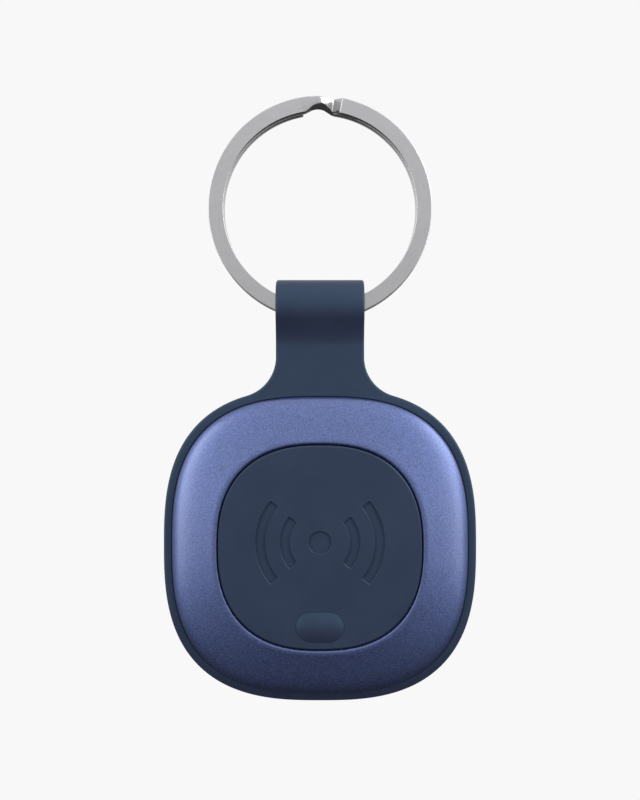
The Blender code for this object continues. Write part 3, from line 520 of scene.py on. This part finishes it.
def wire_station(turn_deg, inset=0.0, slant=0.0):
    """The wire's rounded section at an angle along it, as points in space."""
    section = fillet(crank_corners(turn_deg - 360), WIRE_EDGE, 3)
    middle = [sum(point[axis] for point in section) / len(section) for axis in (0, 1)]
    points = []
    for radius, depth in section:
        radius += (middle[0] - radius) * inset
        depth += (middle[1] - depth) * inset
        share = (depth - COIL_FRONT) / (-COIL_FRONT - COIL_GAP / 2)
        angle = math.radians(turn_deg - slant * share)
        points.append((radius * math.sin(angle), depth, radius * math.cos(angle)))
    return points


def build_key_ring():
    """Two turns of wire between two cut ends: the front coil, the crank and the rear coil."""
    crank_start, crank_end = 360 + CRANK[0][0], 360 + CRANK[-1][0]
    rear_edge = REAR_CUT_DEG - CUT_EDGE_DEG
    stations = [(FRONT_CUT_DEG, CUT_INSET), (FRONT_CUT_DEG + CUT_EDGE_DEG, 0.0)]
    for start, end, step in ((FRONT_CUT_DEG + PLAIN_STEP_DEG, crank_start, PLAIN_STEP_DEG),
                             (crank_start, crank_end, CRANK_STEP_DEG),
                             (crank_end, rear_edge, PLAIN_STEP_DEG)):
        count = round((end - start) / step)
        stations += [(start + (end - start) * index / count, 0.0) for index in range(count)]
    stations += [(rear_edge, 0.0), (REAR_CUT_DEG, CUT_INSET)]
    loops = []
    for turn, inset in stations:
        slant = CUT_SLANT_DEG * max(0.0, 1 - (turn - FRONT_CUT_DEG) / CUT_SLANT_FADE_DEG)
        loops.append(wire_station(turn, inset, slant))
    ring = link("split_ring", mesh_of("split_ring", lambda shape: skin(shape, loops, False)), RING_CENTER)
    finish_piece(ring, "key_ring", LOOKS["polished_steel"], ["key_ring"], 40)


# ---------------------------------------------------------------- sleeve

STRAP_HALF_WIDTH = 5.5 * MM
CHANNEL_RADIUS = 2.25 * MM
LOOP_BLEND_DEPTH = 4.9 * MM
FLARE_BELOW_LOOP = 6.3 * MM
SLEEVE_HALF_DEPTH = 1.85 * MM
SLEEVE_EDGE = 0.3 * MM
LIP_EDGE = 0.1 * MM
LIP_FALL = 0.42 * MM
LIP_FADE = 1.15         # in sleeve half-heights, how far up the lip's slope runs out
NECK_OVERLAP = 1.2 * MM
FLARE_RANGE = (2 * MM, 9 * MM)
LOOP_LEAVE_DEG = -28.0
SNUG = 0.05 * MM
RIB_REACH = 0.85 * MM
RIB_HALF_DEPTH = 0.5 * MM
SEAT_GAP = 0.2 * MM


def flare_arc(strap_top):
    """The arc that leaves the strap's side and just touches the rounded square of the rim."""
    rim = rounded_square(SLEEVE_HALF, BODY_POWER, 7200)
    low, high = FLARE_RANGE
    for _ in range(30):
        radius = (low + high) / 2
        center = Vector((STRAP_HALF_WIDTH + radius, strap_top))
        touch = min((Vector(point) for point in rim), key=lambda point: (point - center).length)
        low, high = (radius, high) if (touch - center).length > radius else (low, radius)
    reach = touch - center
    end_deg = math.degrees(math.atan2(reach.y, reach.x)) % 360
    return arc(center, radius, 180, end_deg, 28), touch.x


def sleeve_outline():
    """The neck's stub, the flares on both sides and the rim, as one closed outline."""
    strap_top = PIVOT.z - FLARE_BELOW_LOOP - BODY_CENTER.z
    flare, join_x = flare_arc(strap_top)
    rim = [point for point in rounded_square(SLEEVE_HALF, BODY_POWER)
           if point[1] < 0 or abs(point[0]) > join_x + 0.15 * MM]
    rim.sort(key=lambda point: math.atan2(point[0], point[1]) % (2 * math.pi))
    left = [(-x, z) for x, z in reversed(flare)]
    neck_top = strap_top + NECK_OVERLAP
    return [(STRAP_HALF_WIDTH, neck_top)] + flare + rim + left + [(-STRAP_HALF_WIDTH, neck_top)]


def loop_outline():
    """The strap loop from the side: round over the ring, easing in to the neck's thickness."""
    over = arc((0, 0), LOOP_RADIUS, LOOP_LEAVE_DEG, 180 - LOOP_LEAVE_DEG, 64)
    slope = math.radians(LOOP_LEAVE_DEG - 90)
    lead = (over[0][0] + 1.5 * MM * math.cos(slope), over[0][1] + 1.5 * MM * math.sin(slope))
    foot = (SLEEVE_HALF_DEPTH, -LOOP_BLEND_DEPTH)
    trail = (SLEEVE_HALF_DEPTH, -LOOP_BLEND_DEPTH + 0.9 * MM)
    ease = bezier(over[0], lead, trail, foot, 24)[1:]
    base = -FLARE_BELOW_LOOP - 1.0 * MM
    right = [(SLEEVE_HALF_DEPTH, base)] + ease[::-1]
    left = [(-depth, up) for depth, up in ease] + [(-SLEEVE_HALF_DEPTH, base)]
    return right + over + left


def lip_sections():
    """The body's opening from front to back, rounded outward where it meets each face."""
    turns = [math.radians(20 * step) for step in range(5)]
    halves = [COVER_HALF + SNUG + LIP_EDGE * (1 - math.cos(a)) for a in turns]
    depths = [SLEEVE_HALF_DEPTH - LIP_EDGE * (1 - math.sin(a)) for a in turns]
    back = [(half, BODY_POWER, depth) for half, depth in zip(halves, depths)]
    back.append((halves[-1], BODY_POWER, SLEEVE_HALF_DEPTH + MM))
    return [(half, power, -depth) for half, power, depth in back[::-1]] + back


def lip_shaver(side):
    """A ring that slopes the lip's face outward, deepest at the bottom and clear of the neck."""
    beyond, clear = 0.05 * MM, 2 * MM
    reach = SLEEVE_HALF + beyond
    start = COVER_HALF + SNUG + LIP_EDGE
    slope = LIP_FALL / (SLEEVE_HALF - start)
    deepest = slope * (reach - start)
    tilt = math.atan(deepest / (LIP_FADE * SLEEVE_HALF))
    inner = start - 0.5 * MM
    rows = ((inner, slope * (inner - start)), (reach, deepest), (reach, -clear), (inner, -clear))
    foot = BODY_CENTER + Vector((0, side * SLEEVE_HALF_DEPTH, -SLEEVE_HALF))
    sections = squares([(half, BODY_POWER, -side * depth) for half, depth in rows])
    shaver = loft(f"shaver_{side}", sections, True, foot)
    for vertex in shaver.data.vertices:
        vertex.co.z += SLEEVE_HALF
    shaver.rotation_euler.x = -side * tilt
    return shaver


def build_sleeve():
    """The sleeve: a rim with an inner rib round the body, a neck, and the loop over the ring."""
    sleeve = plate("silicone_sleeve", [sleeve_outline()], -SLEEVE_HALF_DEPTH, SLEEVE_HALF_DEPTH,
                   BODY_CENTER, SLEEVE_EDGE)
    opening = loft("opening", squares(lip_sections()), False)
    loop = drawn("loop", [loop_outline(), circle((0, 0), CHANNEL_RADIUS)], 2 * STRAP_HALF_WIDTH, PIVOT,
                 (math.pi / 2, 0, math.pi / 2), SLEEVE_EDGE)
    rib = plate("rib", [rounded_square(COVER_HALF + SEAT_GAP + 0.4 * MM, BODY_POWER),
                        rounded_square(COVER_HALF - RIB_REACH, BODY_POWER)],
                -RIB_HALF_DEPTH, RIB_HALF_DEPTH, BODY_CENTER)
    shavers = [("DIFFERENCE", lip_shaver(side)) for side in (-1, 1)]
    carve(sleeve, shavers + [("DIFFERENCE", opening), ("UNION", loop), ("UNION", rib)])
    finish_piece(sleeve, "tag", LOOKS["navy_silicone"], ["strap_sleeve"])


# ---------------------------------------------------------------- covers

COVER_WALL = 1.0 * MM
COVER_RIM = 1.9 * MM
OPENING_HALF = 12.53 * MM
SHOULDER = 1.4 * MM
SHOULDER_RISE = 1.0 * MM
CROWN_SLOPE = 0.25
OPENING_CHAMFER = 0.35 * MM
PAD_POWER = 2.45
REAR_FLAT_HALF = 14.2 * MM
DOOR_OPENING = door_high.x + SEAT_GAP
DOOR_WALL = 0.8 * MM
LEDGE_RADIUS = 11.0 * MM
LEDGE_FRONT = 2.3 * MM
LEDGE_BACK = 3.1 * MM
DECK_BACK = 1.0 * MM
SHANK_RADIUS = 0.6 * MM
SCREW_SEAT = 2.9 * MM
FRONT_BOSS_RADIUS = 1.4 * MM
REAR_BOSS_RADIUS = 1.8 * MM
COUNTERBORE_RADIUS = 1.25 * MM
FRONT_BOSS_FRONT = -3.3 * MM
PILOT_FRONT = -2.0 * MM
REAR_BOSS_BACK = 3.7 * MM
DOOR_LIP = 0.12 * MM
SCREW_NODES = ("cover_screw_1", "cover_screw_2", "cover_screw_3", "cover_screw_4")
SCREW_CENTERS = [Vector(((low.x + high.x) / 2, 0, (low.z + high.z) / 2))
                 for low, high in map(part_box, SCREW_NODES)]


def dome(crown_half, crown_power, crown, steps=28):
    """Sections of a cover's outer skin from rim to crown, and of its inner skin a wall behind."""
    side = 1 if crown > 0 else -1
    rim = side * COVER_RIM
    shoulder = COVER_HALF - SHOULDER
    shoulder_level = crown - side * CROWN_SLOPE * (shoulder - crown_half)
    outer = bezier((COVER_HALF, rim), (COVER_HALF, rim + side * SHOULDER_RISE),
                   (shoulder, shoulder_level), (crown_half, crown), steps)
    inner_rim, inner_crown = rim - side * 0.2 * MM, crown - side * COVER_WALL
    inner_half = COVER_HALF - COVER_WALL
    inner = bezier((inner_half, inner_rim), (inner_half - 0.3 * MM, inner_rim + side * 0.7 * MM),
                   (inner_half - 1.8 * MM, inner_crown - side * 0.1 * MM), (crown_half, inner_crown), 8)

    def with_power(half):
        share = (COVER_HALF - half) / (COVER_HALF - crown_half)
        return BODY_POWER + (crown_power - BODY_POWER) * min(1.0, max(0.0, share))

    return tuple([(half, with_power(half), depth) for half, depth in skin_line]
                 for skin_line in (outer, inner))


def at_screws(operation, radius, front, back, label):
    """One step for carve() at each screw, with a rod between two depths."""
    return [(operation, rod(f"{label}_{number}", radius, front, back, center, 32))
            for number, center in enumerate(SCREW_CENTERS)]


def build_front_cover():
    """The annular dome, rounded into the pad's opening, with a boss for each screw."""
    skirt_end = -RIB_HALF_DEPTH - SEAT_GAP
    crown = cover_low.y
    outer, inner = dome(OPENING_HALF + OPENING_CHAMFER, PAD_POWER, crown)
    chamfer = [(OPENING_HALF + OPENING_CHAMFER * (1 - math.sin(a)), PAD_POWER,
                crown + OPENING_CHAMFER * (1 - math.cos(a)))
               for a in (math.radians(22.5 * step) for step in range(1, 5))]
    sections = [(COVER_HALF, BODY_POWER, skirt_end)] + outer + chamfer
    sections.append((OPENING_HALF, PAD_POWER, crown + COVER_WALL))
    sections += inner[::-1]
    sections.append((COVER_HALF - COVER_WALL, BODY_POWER, skirt_end))
    cover = loft("front_shell", squares(sections), True)
    carve(cover, at_screws("UNION", FRONT_BOSS_RADIUS, FRONT_BOSS_FRONT, DECK_BACK, "boss")
          + at_screws("DIFFERENCE", SHANK_RADIUS + 0.15 * MM, PILOT_FRONT, DECK_BACK + MM, "pilot"))
    finish_piece(cover, "tag", LOOKS["blue_aluminium"], ["front_cover"])


def build_rear_cover():
    """The rear dome with the door's seat, the scallop to pry it by and the screws' bosses."""
    skirt_end = RIB_HALF_DEPTH + SEAT_GAP
    face, lip = rear_high.y, DOOR_LIP
    outer, inner = dome(REAR_FLAT_HALF, 2.5, face)
    wall = DOOR_OPENING + DOOR_WALL
    sections = [(COVER_HALF, BODY_POWER, skirt_end)] + outer
    sections += [(DOOR_OPENING + lip, 2.0, face), (DOOR_OPENING + lip * 0.3, 2.0, face - lip * 0.3),
                 (DOOR_OPENING, 2.0, face - lip), (DOOR_OPENING, 2.0, LEDGE_BACK),
                 (LEDGE_RADIUS, 2.0, LEDGE_BACK), (LEDGE_RADIUS, 2.0, LEDGE_FRONT),
                 (wall, 2.0, LEDGE_FRONT), (wall, 2.1, face - COVER_WALL)]
    sections += inner[-2::-1]
    sections.append((COVER_HALF - COVER_WALL, BODY_POWER, skirt_end))
    cover = loft("rear_shell", squares(sections), True)
    notch_center = BODY_CENTER + Vector((0, 0, -DOOR_OPENING))
    notch = turned("pry_scallop", [(0, face + MM), (1.95 * MM, face + MM), (1.8 * MM, face),
                                   (1.62 * MM, LEDGE_BACK + 0.8 * MM), (1.4 * MM, LEDGE_BACK + 0.6 * MM),
                                   (0, LEDGE_BACK + 0.6 * MM)], notch_center, 48)
    carve(cover, at_screws("UNION", REAR_BOSS_RADIUS, DECK_BACK + SEAT_GAP, REAR_BOSS_BACK, "boss")
          + at_screws("DIFFERENCE", SHANK_RADIUS + 0.2 * MM, 0.5 * MM, SCREW_SEAT + 0.5 * MM, "clearance")
          + at_screws("DIFFERENCE", COUNTERBORE_RADIUS, SCREW_SEAT, face + MM, "counterbore")
          + [("DIFFERENCE", notch)])
    finish_piece(cover, "tag", LOOKS["blue_lacquer"], ["rear_cover"])


# ---------------------------------------------------------------- pad and key

PAD_HALF = 12.33 * MM
PAD_BACK = -3.4 * MM
PAD_STEP = -3.1 * MM
PAD_CORE_HALF = 11.7 * MM
PAD_SNUG = 0.11 * MM
PAD_EDGE = 0.17 * MM
EMBLEM_DEPTH = 0.25 * MM
EMBLEM_RISE = 0.6 * MM
EMBLEM_EDGE = 0.10 * MM
EMBLEM_DOT = 1.35 * MM
EMBLEM_RADII = (4.3 * MM, 7.3 * MM)
STROKE_HALF = 0.55 * MM
STROKE_REACH_DEG = 40
STROKE_CORNER = 0.25 * MM
CUTTER_PROUD = 0.1 * MM
KEY_HALF_WIDTH = 2.85 * MM
KEY_HALF_HEIGHT = 1.75 * MM
KEY_CLEARANCE = 0.12 * MM
KEY_HOLE_EDGE = 0.04 * MM
KEY_SNUG = 0.10 * MM
KEY_DOME = 0.40 * MM
KEY_DOME_POWER = 1.9
KEY_CROWN_SHARE = 0.97
STEM_RADIUS = 0.6 * MM


def arc_stroke(radius, side_deg, grow):
    """One arc of the emblem as a closed band with softened corners."""
    half = STROKE_HALF + grow
    reach_deg = STROKE_REACH_DEG + math.degrees(grow / radius)
    start, end = side_deg - reach_deg, side_deg + reach_deg
    outside = arc((0, EMBLEM_RISE), radius + half, start, end, 28)
    inside = arc((0, EMBLEM_RISE), radius - half, end, start, 28)
    corners = outside + inside
    soft = []
    for index, point in enumerate(corners):
        if index in (0, len(outside) - 1, len(outside), len(corners) - 1):
            here = Vector(point)
            first, last = (Vector(corners[(index + turn) % len(corners)]) - here for turn in (-1, 1))
            near = here + first.normalized() * min(STROKE_CORNER, first.length * 0.8)
            far = here + last.normalized() * min(STROKE_CORNER, last.length * 0.8)
            soft += [tuple(near * (1 - t) ** 2 + here * 2 * t * (1 - t) + far * t * t)
                     for t in (0, 0.25, 0.5, 0.75, 1)]
        else:
            soft.append(point)
    return soft


def flared_cutter(name, outline_at, floor, face, edge):
    """A cutter that flares at 45 degrees near the face it cuts, and so leaves a fine chamfer."""
    straight, flared = outline_at(0), outline_at(edge + CUTTER_PROUD)
    return loft(name, [(straight, floor), (straight, face + edge), (flared, face - CUTTER_PROUD)], False)


def key_hole_outline(grow):
    """The key's hole, seen from the middle of the body."""
    drop = KEY_CENTER.z - BODY_CENTER.z
    return [(x, z + drop) for x, z in stadium(KEY_HALF_WIDTH + KEY_CLEARANCE + grow,
                                              KEY_HALF_HEIGHT + KEY_CLEARANCE + grow)]


def build_center_pad():
    """The pad, flanged behind the opening and hollow at the back, with its hole and its emblem."""
    face = pad_low.y
    rim = PAD_HALF + PAD_SNUG
    rows = ((rim - PAD_EDGE, face), (rim, face + PAD_EDGE), (rim, PAD_STEP), (pad_high.x, PAD_STEP),
            (pad_high.x, pad_high.y), (PAD_CORE_HALF, pad_high.y), (PAD_CORE_HALF, PAD_BACK))
    pad = loft("soft_pad", squares([(half, PAD_POWER, depth) for half, depth in rows]), False)
    floor = face + EMBLEM_DEPTH
    cutters = [flared_cutter("key_hole", key_hole_outline, PAD_BACK + MM, face, KEY_HOLE_EDGE),
               flared_cutter("dot", lambda grow: circle((0, EMBLEM_RISE), EMBLEM_DOT + grow), floor, face,
                             EMBLEM_EDGE)]
    for radius in EMBLEM_RADII:
        for side in (0, 180):
            cutters.append(flared_cutter(f"arc_{side}", lambda grow: arc_stroke(radius, side, grow), floor,
                                         face, EMBLEM_EDGE))
    carve(pad, [("DIFFERENCE", cutter) for cutter in cutters])
    finish_piece(pad, "tag", LOOKS["navy_soft_touch"], ["center_pad"])


def build_key():
    """The pill with its domed face, the bar that keeps it in the pad and the stem to the switch."""
    face = key_low.y
    width, height = KEY_HALF_WIDTH + KEY_SNUG, KEY_HALF_HEIGHT + KEY_SNUG
    sections = [(stadium(width, height), PAD_BACK + 0.3 * MM)]
    for step in range(19):
        inset = height * KEY_CROWN_SHARE * step / 18
        share = 1 - inset / height
        sections.append((stadium(width - inset, height - inset), face + KEY_DOME * share ** KEY_DOME_POWER))
    key = loft("pill_key", sections, False, KEY_CENTER)
    bar_front, bar_back = PAD_BACK + 0.12 * MM, PAD_BACK + 0.42 * MM
    bar = block("bar", (7.2 * MM, bar_back - bar_front, 3.6 * MM),
                KEY_CENTER + Vector((0, (bar_front + bar_back) / 2, 0.25 * MM)))
    stem = rod("stem", STEM_RADIUS, PAD_BACK + 0.2 * MM, key_high.y, KEY_CENTER)
    carve(key, [("UNION", bar), ("UNION", stem)])
    finish_piece(key, "button", LOOKS["navy_soft_touch"], ["button_key"])


# ---------------------------------------------------------------- door, seal, cell and screws

DOOR_EDGE = 0.16 * MM
DOOR_PLATE = 0.7 * MM
DOOR_HUB_RADIUS = 11.35 * MM
DOOR_MARK_BELOW = 8.6 * MM
SEAL_RADIUS = 11.85 * MM
CELL_SHEET = 0.25 * MM
CELL_BEND = 0.3 * MM
PLUS_RISE = 6.2 * MM
SLOT_SIZE = (1.15 * MM, 0.6 * MM, 0.24 * MM)
THREAD_PITCH = 0.4 * MM
HEAD_CROWN = 0.28 * MM
HEAD_SPAN = 1.3          # radians of the arc that crowns a screw's head


def build_door():
    """The door with a turned groove, a notch to pry it by and a triangle that marks the notch."""
    face, radius = door_high.y, door_high.x
    back_step = face - DOOR_PLATE
    edge = DOOR_EDGE
    rim = [(radius - edge * (1 - math.sin(a)), face - edge * (1 - math.cos(a)))
           for a in (math.radians(18 * step) for step in range(6))]
    groove = [(10.3, 0.0), (10.36, 0.06), (10.46, 0.10), (10.62, 0.10), (10.72, 0.06), (10.78, 0.0)]
    profile = [(0, face)] + [(r * MM, face - d * MM) for r, d in groove] + rim
    profile += [(radius, back_step), (DOOR_HUB_RADIUS, back_step), (DOOR_HUB_RADIUS, door_low.y),
                (0, door_low.y)]
    door = turned("cell_door", profile, BODY_CENTER, 160)
    notch = block("notch", (2.2 * MM, 1.0 * MM, 1.0 * MM),
                  BODY_CENTER + Vector((0, back_step, -radius)), 0.12 * MM)
    triangle = [(-0.9 * MM, 0.75 * MM), (0.9 * MM, 0.75 * MM), (0, -0.75 * MM)]
    mark = plate("mark", [fillet(triangle, 0.2 * MM)], face - 0.12 * MM, face + 0.5 * MM,
                 BODY_CENTER + Vector((0, 0, -DOOR_MARK_BELOW)))
    carve(door, [("DIFFERENCE", notch), ("DIFFERENCE", mark)])
    finish_piece(door, "door", LOOKS["navy_door"], ["battery_door"])


def build_seal():
    section = (seal_high.y - seal_low.y) / 2
    middle = (seal_high.y + seal_low.y) / 2
    profile = circle((SEAL_RADIUS, middle), section, 16)
    seal = turned("o_ring", profile + profile[:1], BODY_CENTER, 120)
    finish_piece(seal, "door", LOOKS["black_rubber"], ["door_seal"], 180)


def build_cell():
    """The cell's can: a rolled edge, a shallow ring and a plus pressed into its back."""
    back, radius, front = cell_high.y, cell_high.x, cell_low.y
    inner = radius - CELL_SHEET
    bend = [(radius - CELL_BEND * (1 - math.sin(a)), back - CELL_BEND * (1 - math.cos(a)))
            for a in (math.radians(15 * step) for step in range(7))]
    profile = [(0, back), (8.70 * MM, back), (8.76 * MM, back - 0.03 * MM), (8.90 * MM, back - 0.03 * MM),
               (8.96 * MM, back)] + bend
    profile += [(radius, front + 0.25 * MM), (radius - 0.06 * MM, front + 0.08 * MM),
                (radius - 0.2 * MM, front), (inner - 0.1 * MM, front), (inner, front + 0.3 * MM),
                (inner, back - CELL_SHEET), (0, back - CELL_SHEET)]
    can = turned("cell_can", profile, BODY_CENTER, 120)
    arms = [block(label, size, BODY_CENTER + Vector((0, back, PLUS_RISE)))
            for label, size in (("across", (2.0 * MM, 0.08 * MM, 0.4 * MM)),
                                ("upright", (0.4 * MM, 0.08 * MM, 2.0 * MM)))]
    carve(can, [("DIFFERENCE", arm) for arm in arms])
    finish_piece(can, "tag", LOOKS["nickel_steel"], ["battery_can"])


def build_screws():
    """Four screws with a crowned head, a cross slot and rings for a thread."""
    low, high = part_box(SCREW_NODES[0])
    head = (high.x - low.x) / 2
    top, tip, seat = high.y, low.y, SCREW_SEAT + 0.06 * MM
    crown = [(head * math.sin(a), top - HEAD_CROWN * (1 - math.cos(a)) / (1 - math.cos(HEAD_SPAN)))
             for a in (HEAD_SPAN * step / 8 for step in range(9))]
    thread = []
    depth = seat
    while depth - THREAD_PITCH > tip + 0.5 * MM:
        thread += [(SHANK_RADIUS - 0.1 * MM, depth), (SHANK_RADIUS, depth - THREAD_PITCH / 2)]
        depth -= THREAD_PITCH
    profile = crown + [(head, top - 0.36 * MM), (head, seat)] + thread
    profile += [(SHANK_RADIUS * 0.8, tip + 0.4 * MM), (SHANK_RADIUS * 0.3, tip), (0, tip)]
    for node, center in zip(SCREW_NODES, SCREW_CENTERS):
        screw = turned(node + "_head", profile, center, 40)
        arms = [block(label, size, center + Vector((0, top, 0)))
                for label, size in (("slot", SLOT_SIZE), ("cross", SLOT_SIZE[::-1]))]
        carve(screw, [("DIFFERENCE", arm) for arm in arms])
        finish_piece(screw, "tag", LOOKS["screw_steel"], [node])


def finish_cad_nodes():
    """Inner parts keep the solid model's shapes and get a finished material."""
    for part in frame["record"]["subparts"]:
        node = frame["nodes"][part["node"]]
        for index in range(len(node.material_slots)):
            node.material_slots[index].material = LOOKS[part["material_slot"]]


# ---------------------------------------------------------------- studio

BACKGROUND = 0.939
FLOOR_RADIUS = 104 * MM
FLOOR_BELOW = 56 * MM
FLOOR_SIDES = 96

# The world's brightness by height, from straight down (0) to straight up (1).
WORLD_LEVELS = ((0.0, 0.05), (0.26, 0.12), (0.42, 0.36), (0.52, 0.67), (0.62, 0.83), (0.84, 0.80),
                (1.0, 0.60))
WORLD_DARK = 0.05

# Each light's name, place, width and height in metres, and power in watts. All face the body.
LIGHTS = (
    ("left_strip", (-0.27, -0.21, 0.04), (0.14, 0.34), 0.44),
    ("right_strip", (0.27, -0.21, 0.04), (0.14, 0.34), 0.41),
    ("key_light", (0.0, -0.22, 0.26), (0.30, 0.20), 0.06),
    ("top_light", (0.0, -0.05, 0.28), (0.20, 0.08), 0.05),
    ("side_light", (0.265, -0.066, 0.12), (0.12, 0.22), 0.26),
)

CAMERA_LENS = 48.2
CAMERA_PLACE = (0, -0.135, -0.03613)


def emission(name, strength):
    """A material that only glows."""
    look = bpy.data.materials.new(name)
    look.use_nodes = True
    nodes, links = look.node_tree.nodes, look.node_tree.links
    nodes.remove(nodes["Principled BSDF"])
    glow = nodes.new("ShaderNodeEmission")
    glow.inputs["Strength"].default_value = strength
    links.new(glow.outputs["Emission"], nodes["Material Output"].inputs["Surface"])
    return look


def unseen_by(piece, rays):
    """Keep a piece of the studio out of the light on the tag and out of its reflections."""
    for ray in rays:
        setattr(piece, "visible_" + ray, False)


def build_backdrop():
    """A pale dome round everything, there for the camera alone."""
    mesh = mesh_of("backdrop", lambda shape: bmesh.ops.create_icosphere(shape, subdivisions=4, radius=1.4))
    dome_piece = link("backdrop", mesh, BODY_CENTER)
    mesh.materials.append(emission("pale_backdrop", BACKGROUND))
    unseen_by(dome_piece, ("diffuse", "glossy", "transmission", "volume_scatter", "shadow"))


def build_floor():
    """A round pale floor under the tag that fades out at its edge and is open from below."""
    rings = [[(FLOOR_RADIUS * share * math.cos(a), FLOOR_RADIUS * share * math.sin(a), 0)
              for a in (2 * math.pi * index / FLOOR_SIDES for index in range(FLOOR_SIDES))]
             for share in (0.02, 0.5, 1.0)]

    def build(shape):
        rows = [[shape.verts.new(point) for point in ring] for ring in rings]
        shape.faces.new(rows[0])
        for lower, upper in zip(rows, rows[1:]):
            for index in range(FLOOR_SIDES):
                after = (index + 1) % FLOOR_SIDES
                shape.faces.new((lower[index], lower[after], upper[after], upper[index]))

    mesh = mesh_of("floor", build)
    if mesh.polygons[0].normal.z < 0:
        mesh.flip_normals()
    floor = link("floor", mesh, (0, 0, CAD_BOX[0].z - FLOOR_BELOW))
    look = Look("pale_floor", 0.9)
    tone = look.ramp(look.noise(90.0), [(0.3, (0.80, 0.80, 0.80)), (0.7, (0.84, 0.84, 0.84))])
    look.color(tone)
    length = look.add("VectorMath", operation="LENGTH")
    look.join(look.place, length.inputs[0])
    edge = look.scaled(length.outputs["Value"], 0.0, 1.0, FLOOR_RADIUS * 0.55, FLOOR_RADIUS * 0.98)
    back = look.add("NewGeometry").outputs["Backfacing"]
    clear = look.math("MAXIMUM", edge, back)
    through = look.add("BsdfTransparent")
    blend = look.add("MixShader")
    look.join(clear, blend.inputs[0])
    look.join(look.shader.outputs[0], blend.inputs[1])
    look.join(through.outputs[0], blend.inputs[2])
    look.join(blend.outputs[0], look.tree.nodes["Material Output"].inputs["Surface"])
    mesh.materials.append(look.material)
    unseen_by(floor, ("diffuse", "glossy", "shadow"))


def spread(nodes, start, end):
    """A node that goes from 0 to 1 as its value goes from start to end."""
    node = nodes.new("ShaderNodeMapRange")
    node.inputs["From Min"].default_value, node.inputs["From Max"].default_value = start, end
    return node


def build_world():
    """A studio that is bright above and dim below, and dark low down behind the tag."""
    world = bpy.data.worlds.new("studio")
    bpy.context.scene.world = world
    world.use_nodes = True
    nodes, links = world.node_tree.nodes, world.node_tree.links
    split = nodes.new("ShaderNodeSeparateXYZ")
    links.new(nodes.new("ShaderNodeTexCoord").outputs["Generated"], split.inputs["Vector"])
    shift = nodes.new("ShaderNodeMath")
    shift.operation = "MULTIPLY_ADD"
    shift.inputs[1].default_value = 0.5
    shift.inputs[2].default_value = 0.5
    links.new(split.outputs["Z"], shift.inputs[0])
    ramp = nodes.new("ShaderNodeValToRGB")
    for index, (position, level) in enumerate(WORLD_LEVELS):
        element = ramp.color_ramp.elements[index] if index < 2 else ramp.color_ramp.elements.new(position)
        element.position = position
        element.color = (level, level, level * 1.02, 1)
    links.new(shift.outputs[0], ramp.inputs["Fac"])
    behind = spread(nodes, 0.2, 0.8)
    links.new(split.outputs["Y"], behind.inputs["Value"])
    low = spread(nodes, -0.04, -0.16)
    links.new(split.outputs["Z"], low.inputs["Value"])
    both = nodes.new("ShaderNodeMath")
    both.operation = "MULTIPLY"
    links.new(behind.outputs["Result"], both.inputs[0])
    links.new(low.outputs["Result"], both.inputs[1])
    shade = nodes.new("ShaderNodeMix")
    shade.data_type = "RGBA"
    links.new(both.outputs["Value"], shade.inputs["Factor"])
    links.new(ramp.outputs["Color"], shade.inputs["A"])
    shade.inputs["B"].default_value = (WORLD_DARK, WORLD_DARK, WORLD_DARK, 1)
    links.new(shade.outputs["Result"], nodes["Background"].inputs["Color"])


def build_lights():
    """Soft strips either side, a key and a top light above, and a light for the right edge."""
    for name, place, size, power in LIGHTS:
        lamp = bpy.data.lights.new(name, "AREA")
        lamp.shape = "RECTANGLE"
        lamp.size, lamp.size_y = size
        lamp.energy = power
        holder = bpy.data.objects.new(name, lamp)
        holder.location = place
        holder.rotation_euler = (BODY_CENTER - Vector(place)).to_track_quat("-Z", "Y").to_euler()
        bpy.context.scene.collection.objects.link(holder)


def build_camera():
    """The camera looks level at the front, at the height of the middle of tag and ring together."""
    data = bpy.data.cameras.new("camera")
    data.lens = CAMERA_LENS
    data.clip_start, data.clip_end = 0.005, 10.0
    camera = bpy.data.objects.new("camera", data)
    camera.location = CAMERA_PLACE
    camera.rotation_euler = (math.pi / 2, 0, 0)
    bpy.context.scene.collection.objects.link(camera)
    bpy.context.scene.camera = camera
    bpy.context.scene.view_settings.view_transform = "Standard"


build_key_ring()
build_sleeve()
build_front_cover()
build_rear_cover()
build_center_pad()
build_key()
build_door()
build_seal()
build_cell()
build_screws()
finish_cad_nodes()
build_backdrop()
build_floor()
build_world()
build_lights()
build_camera()
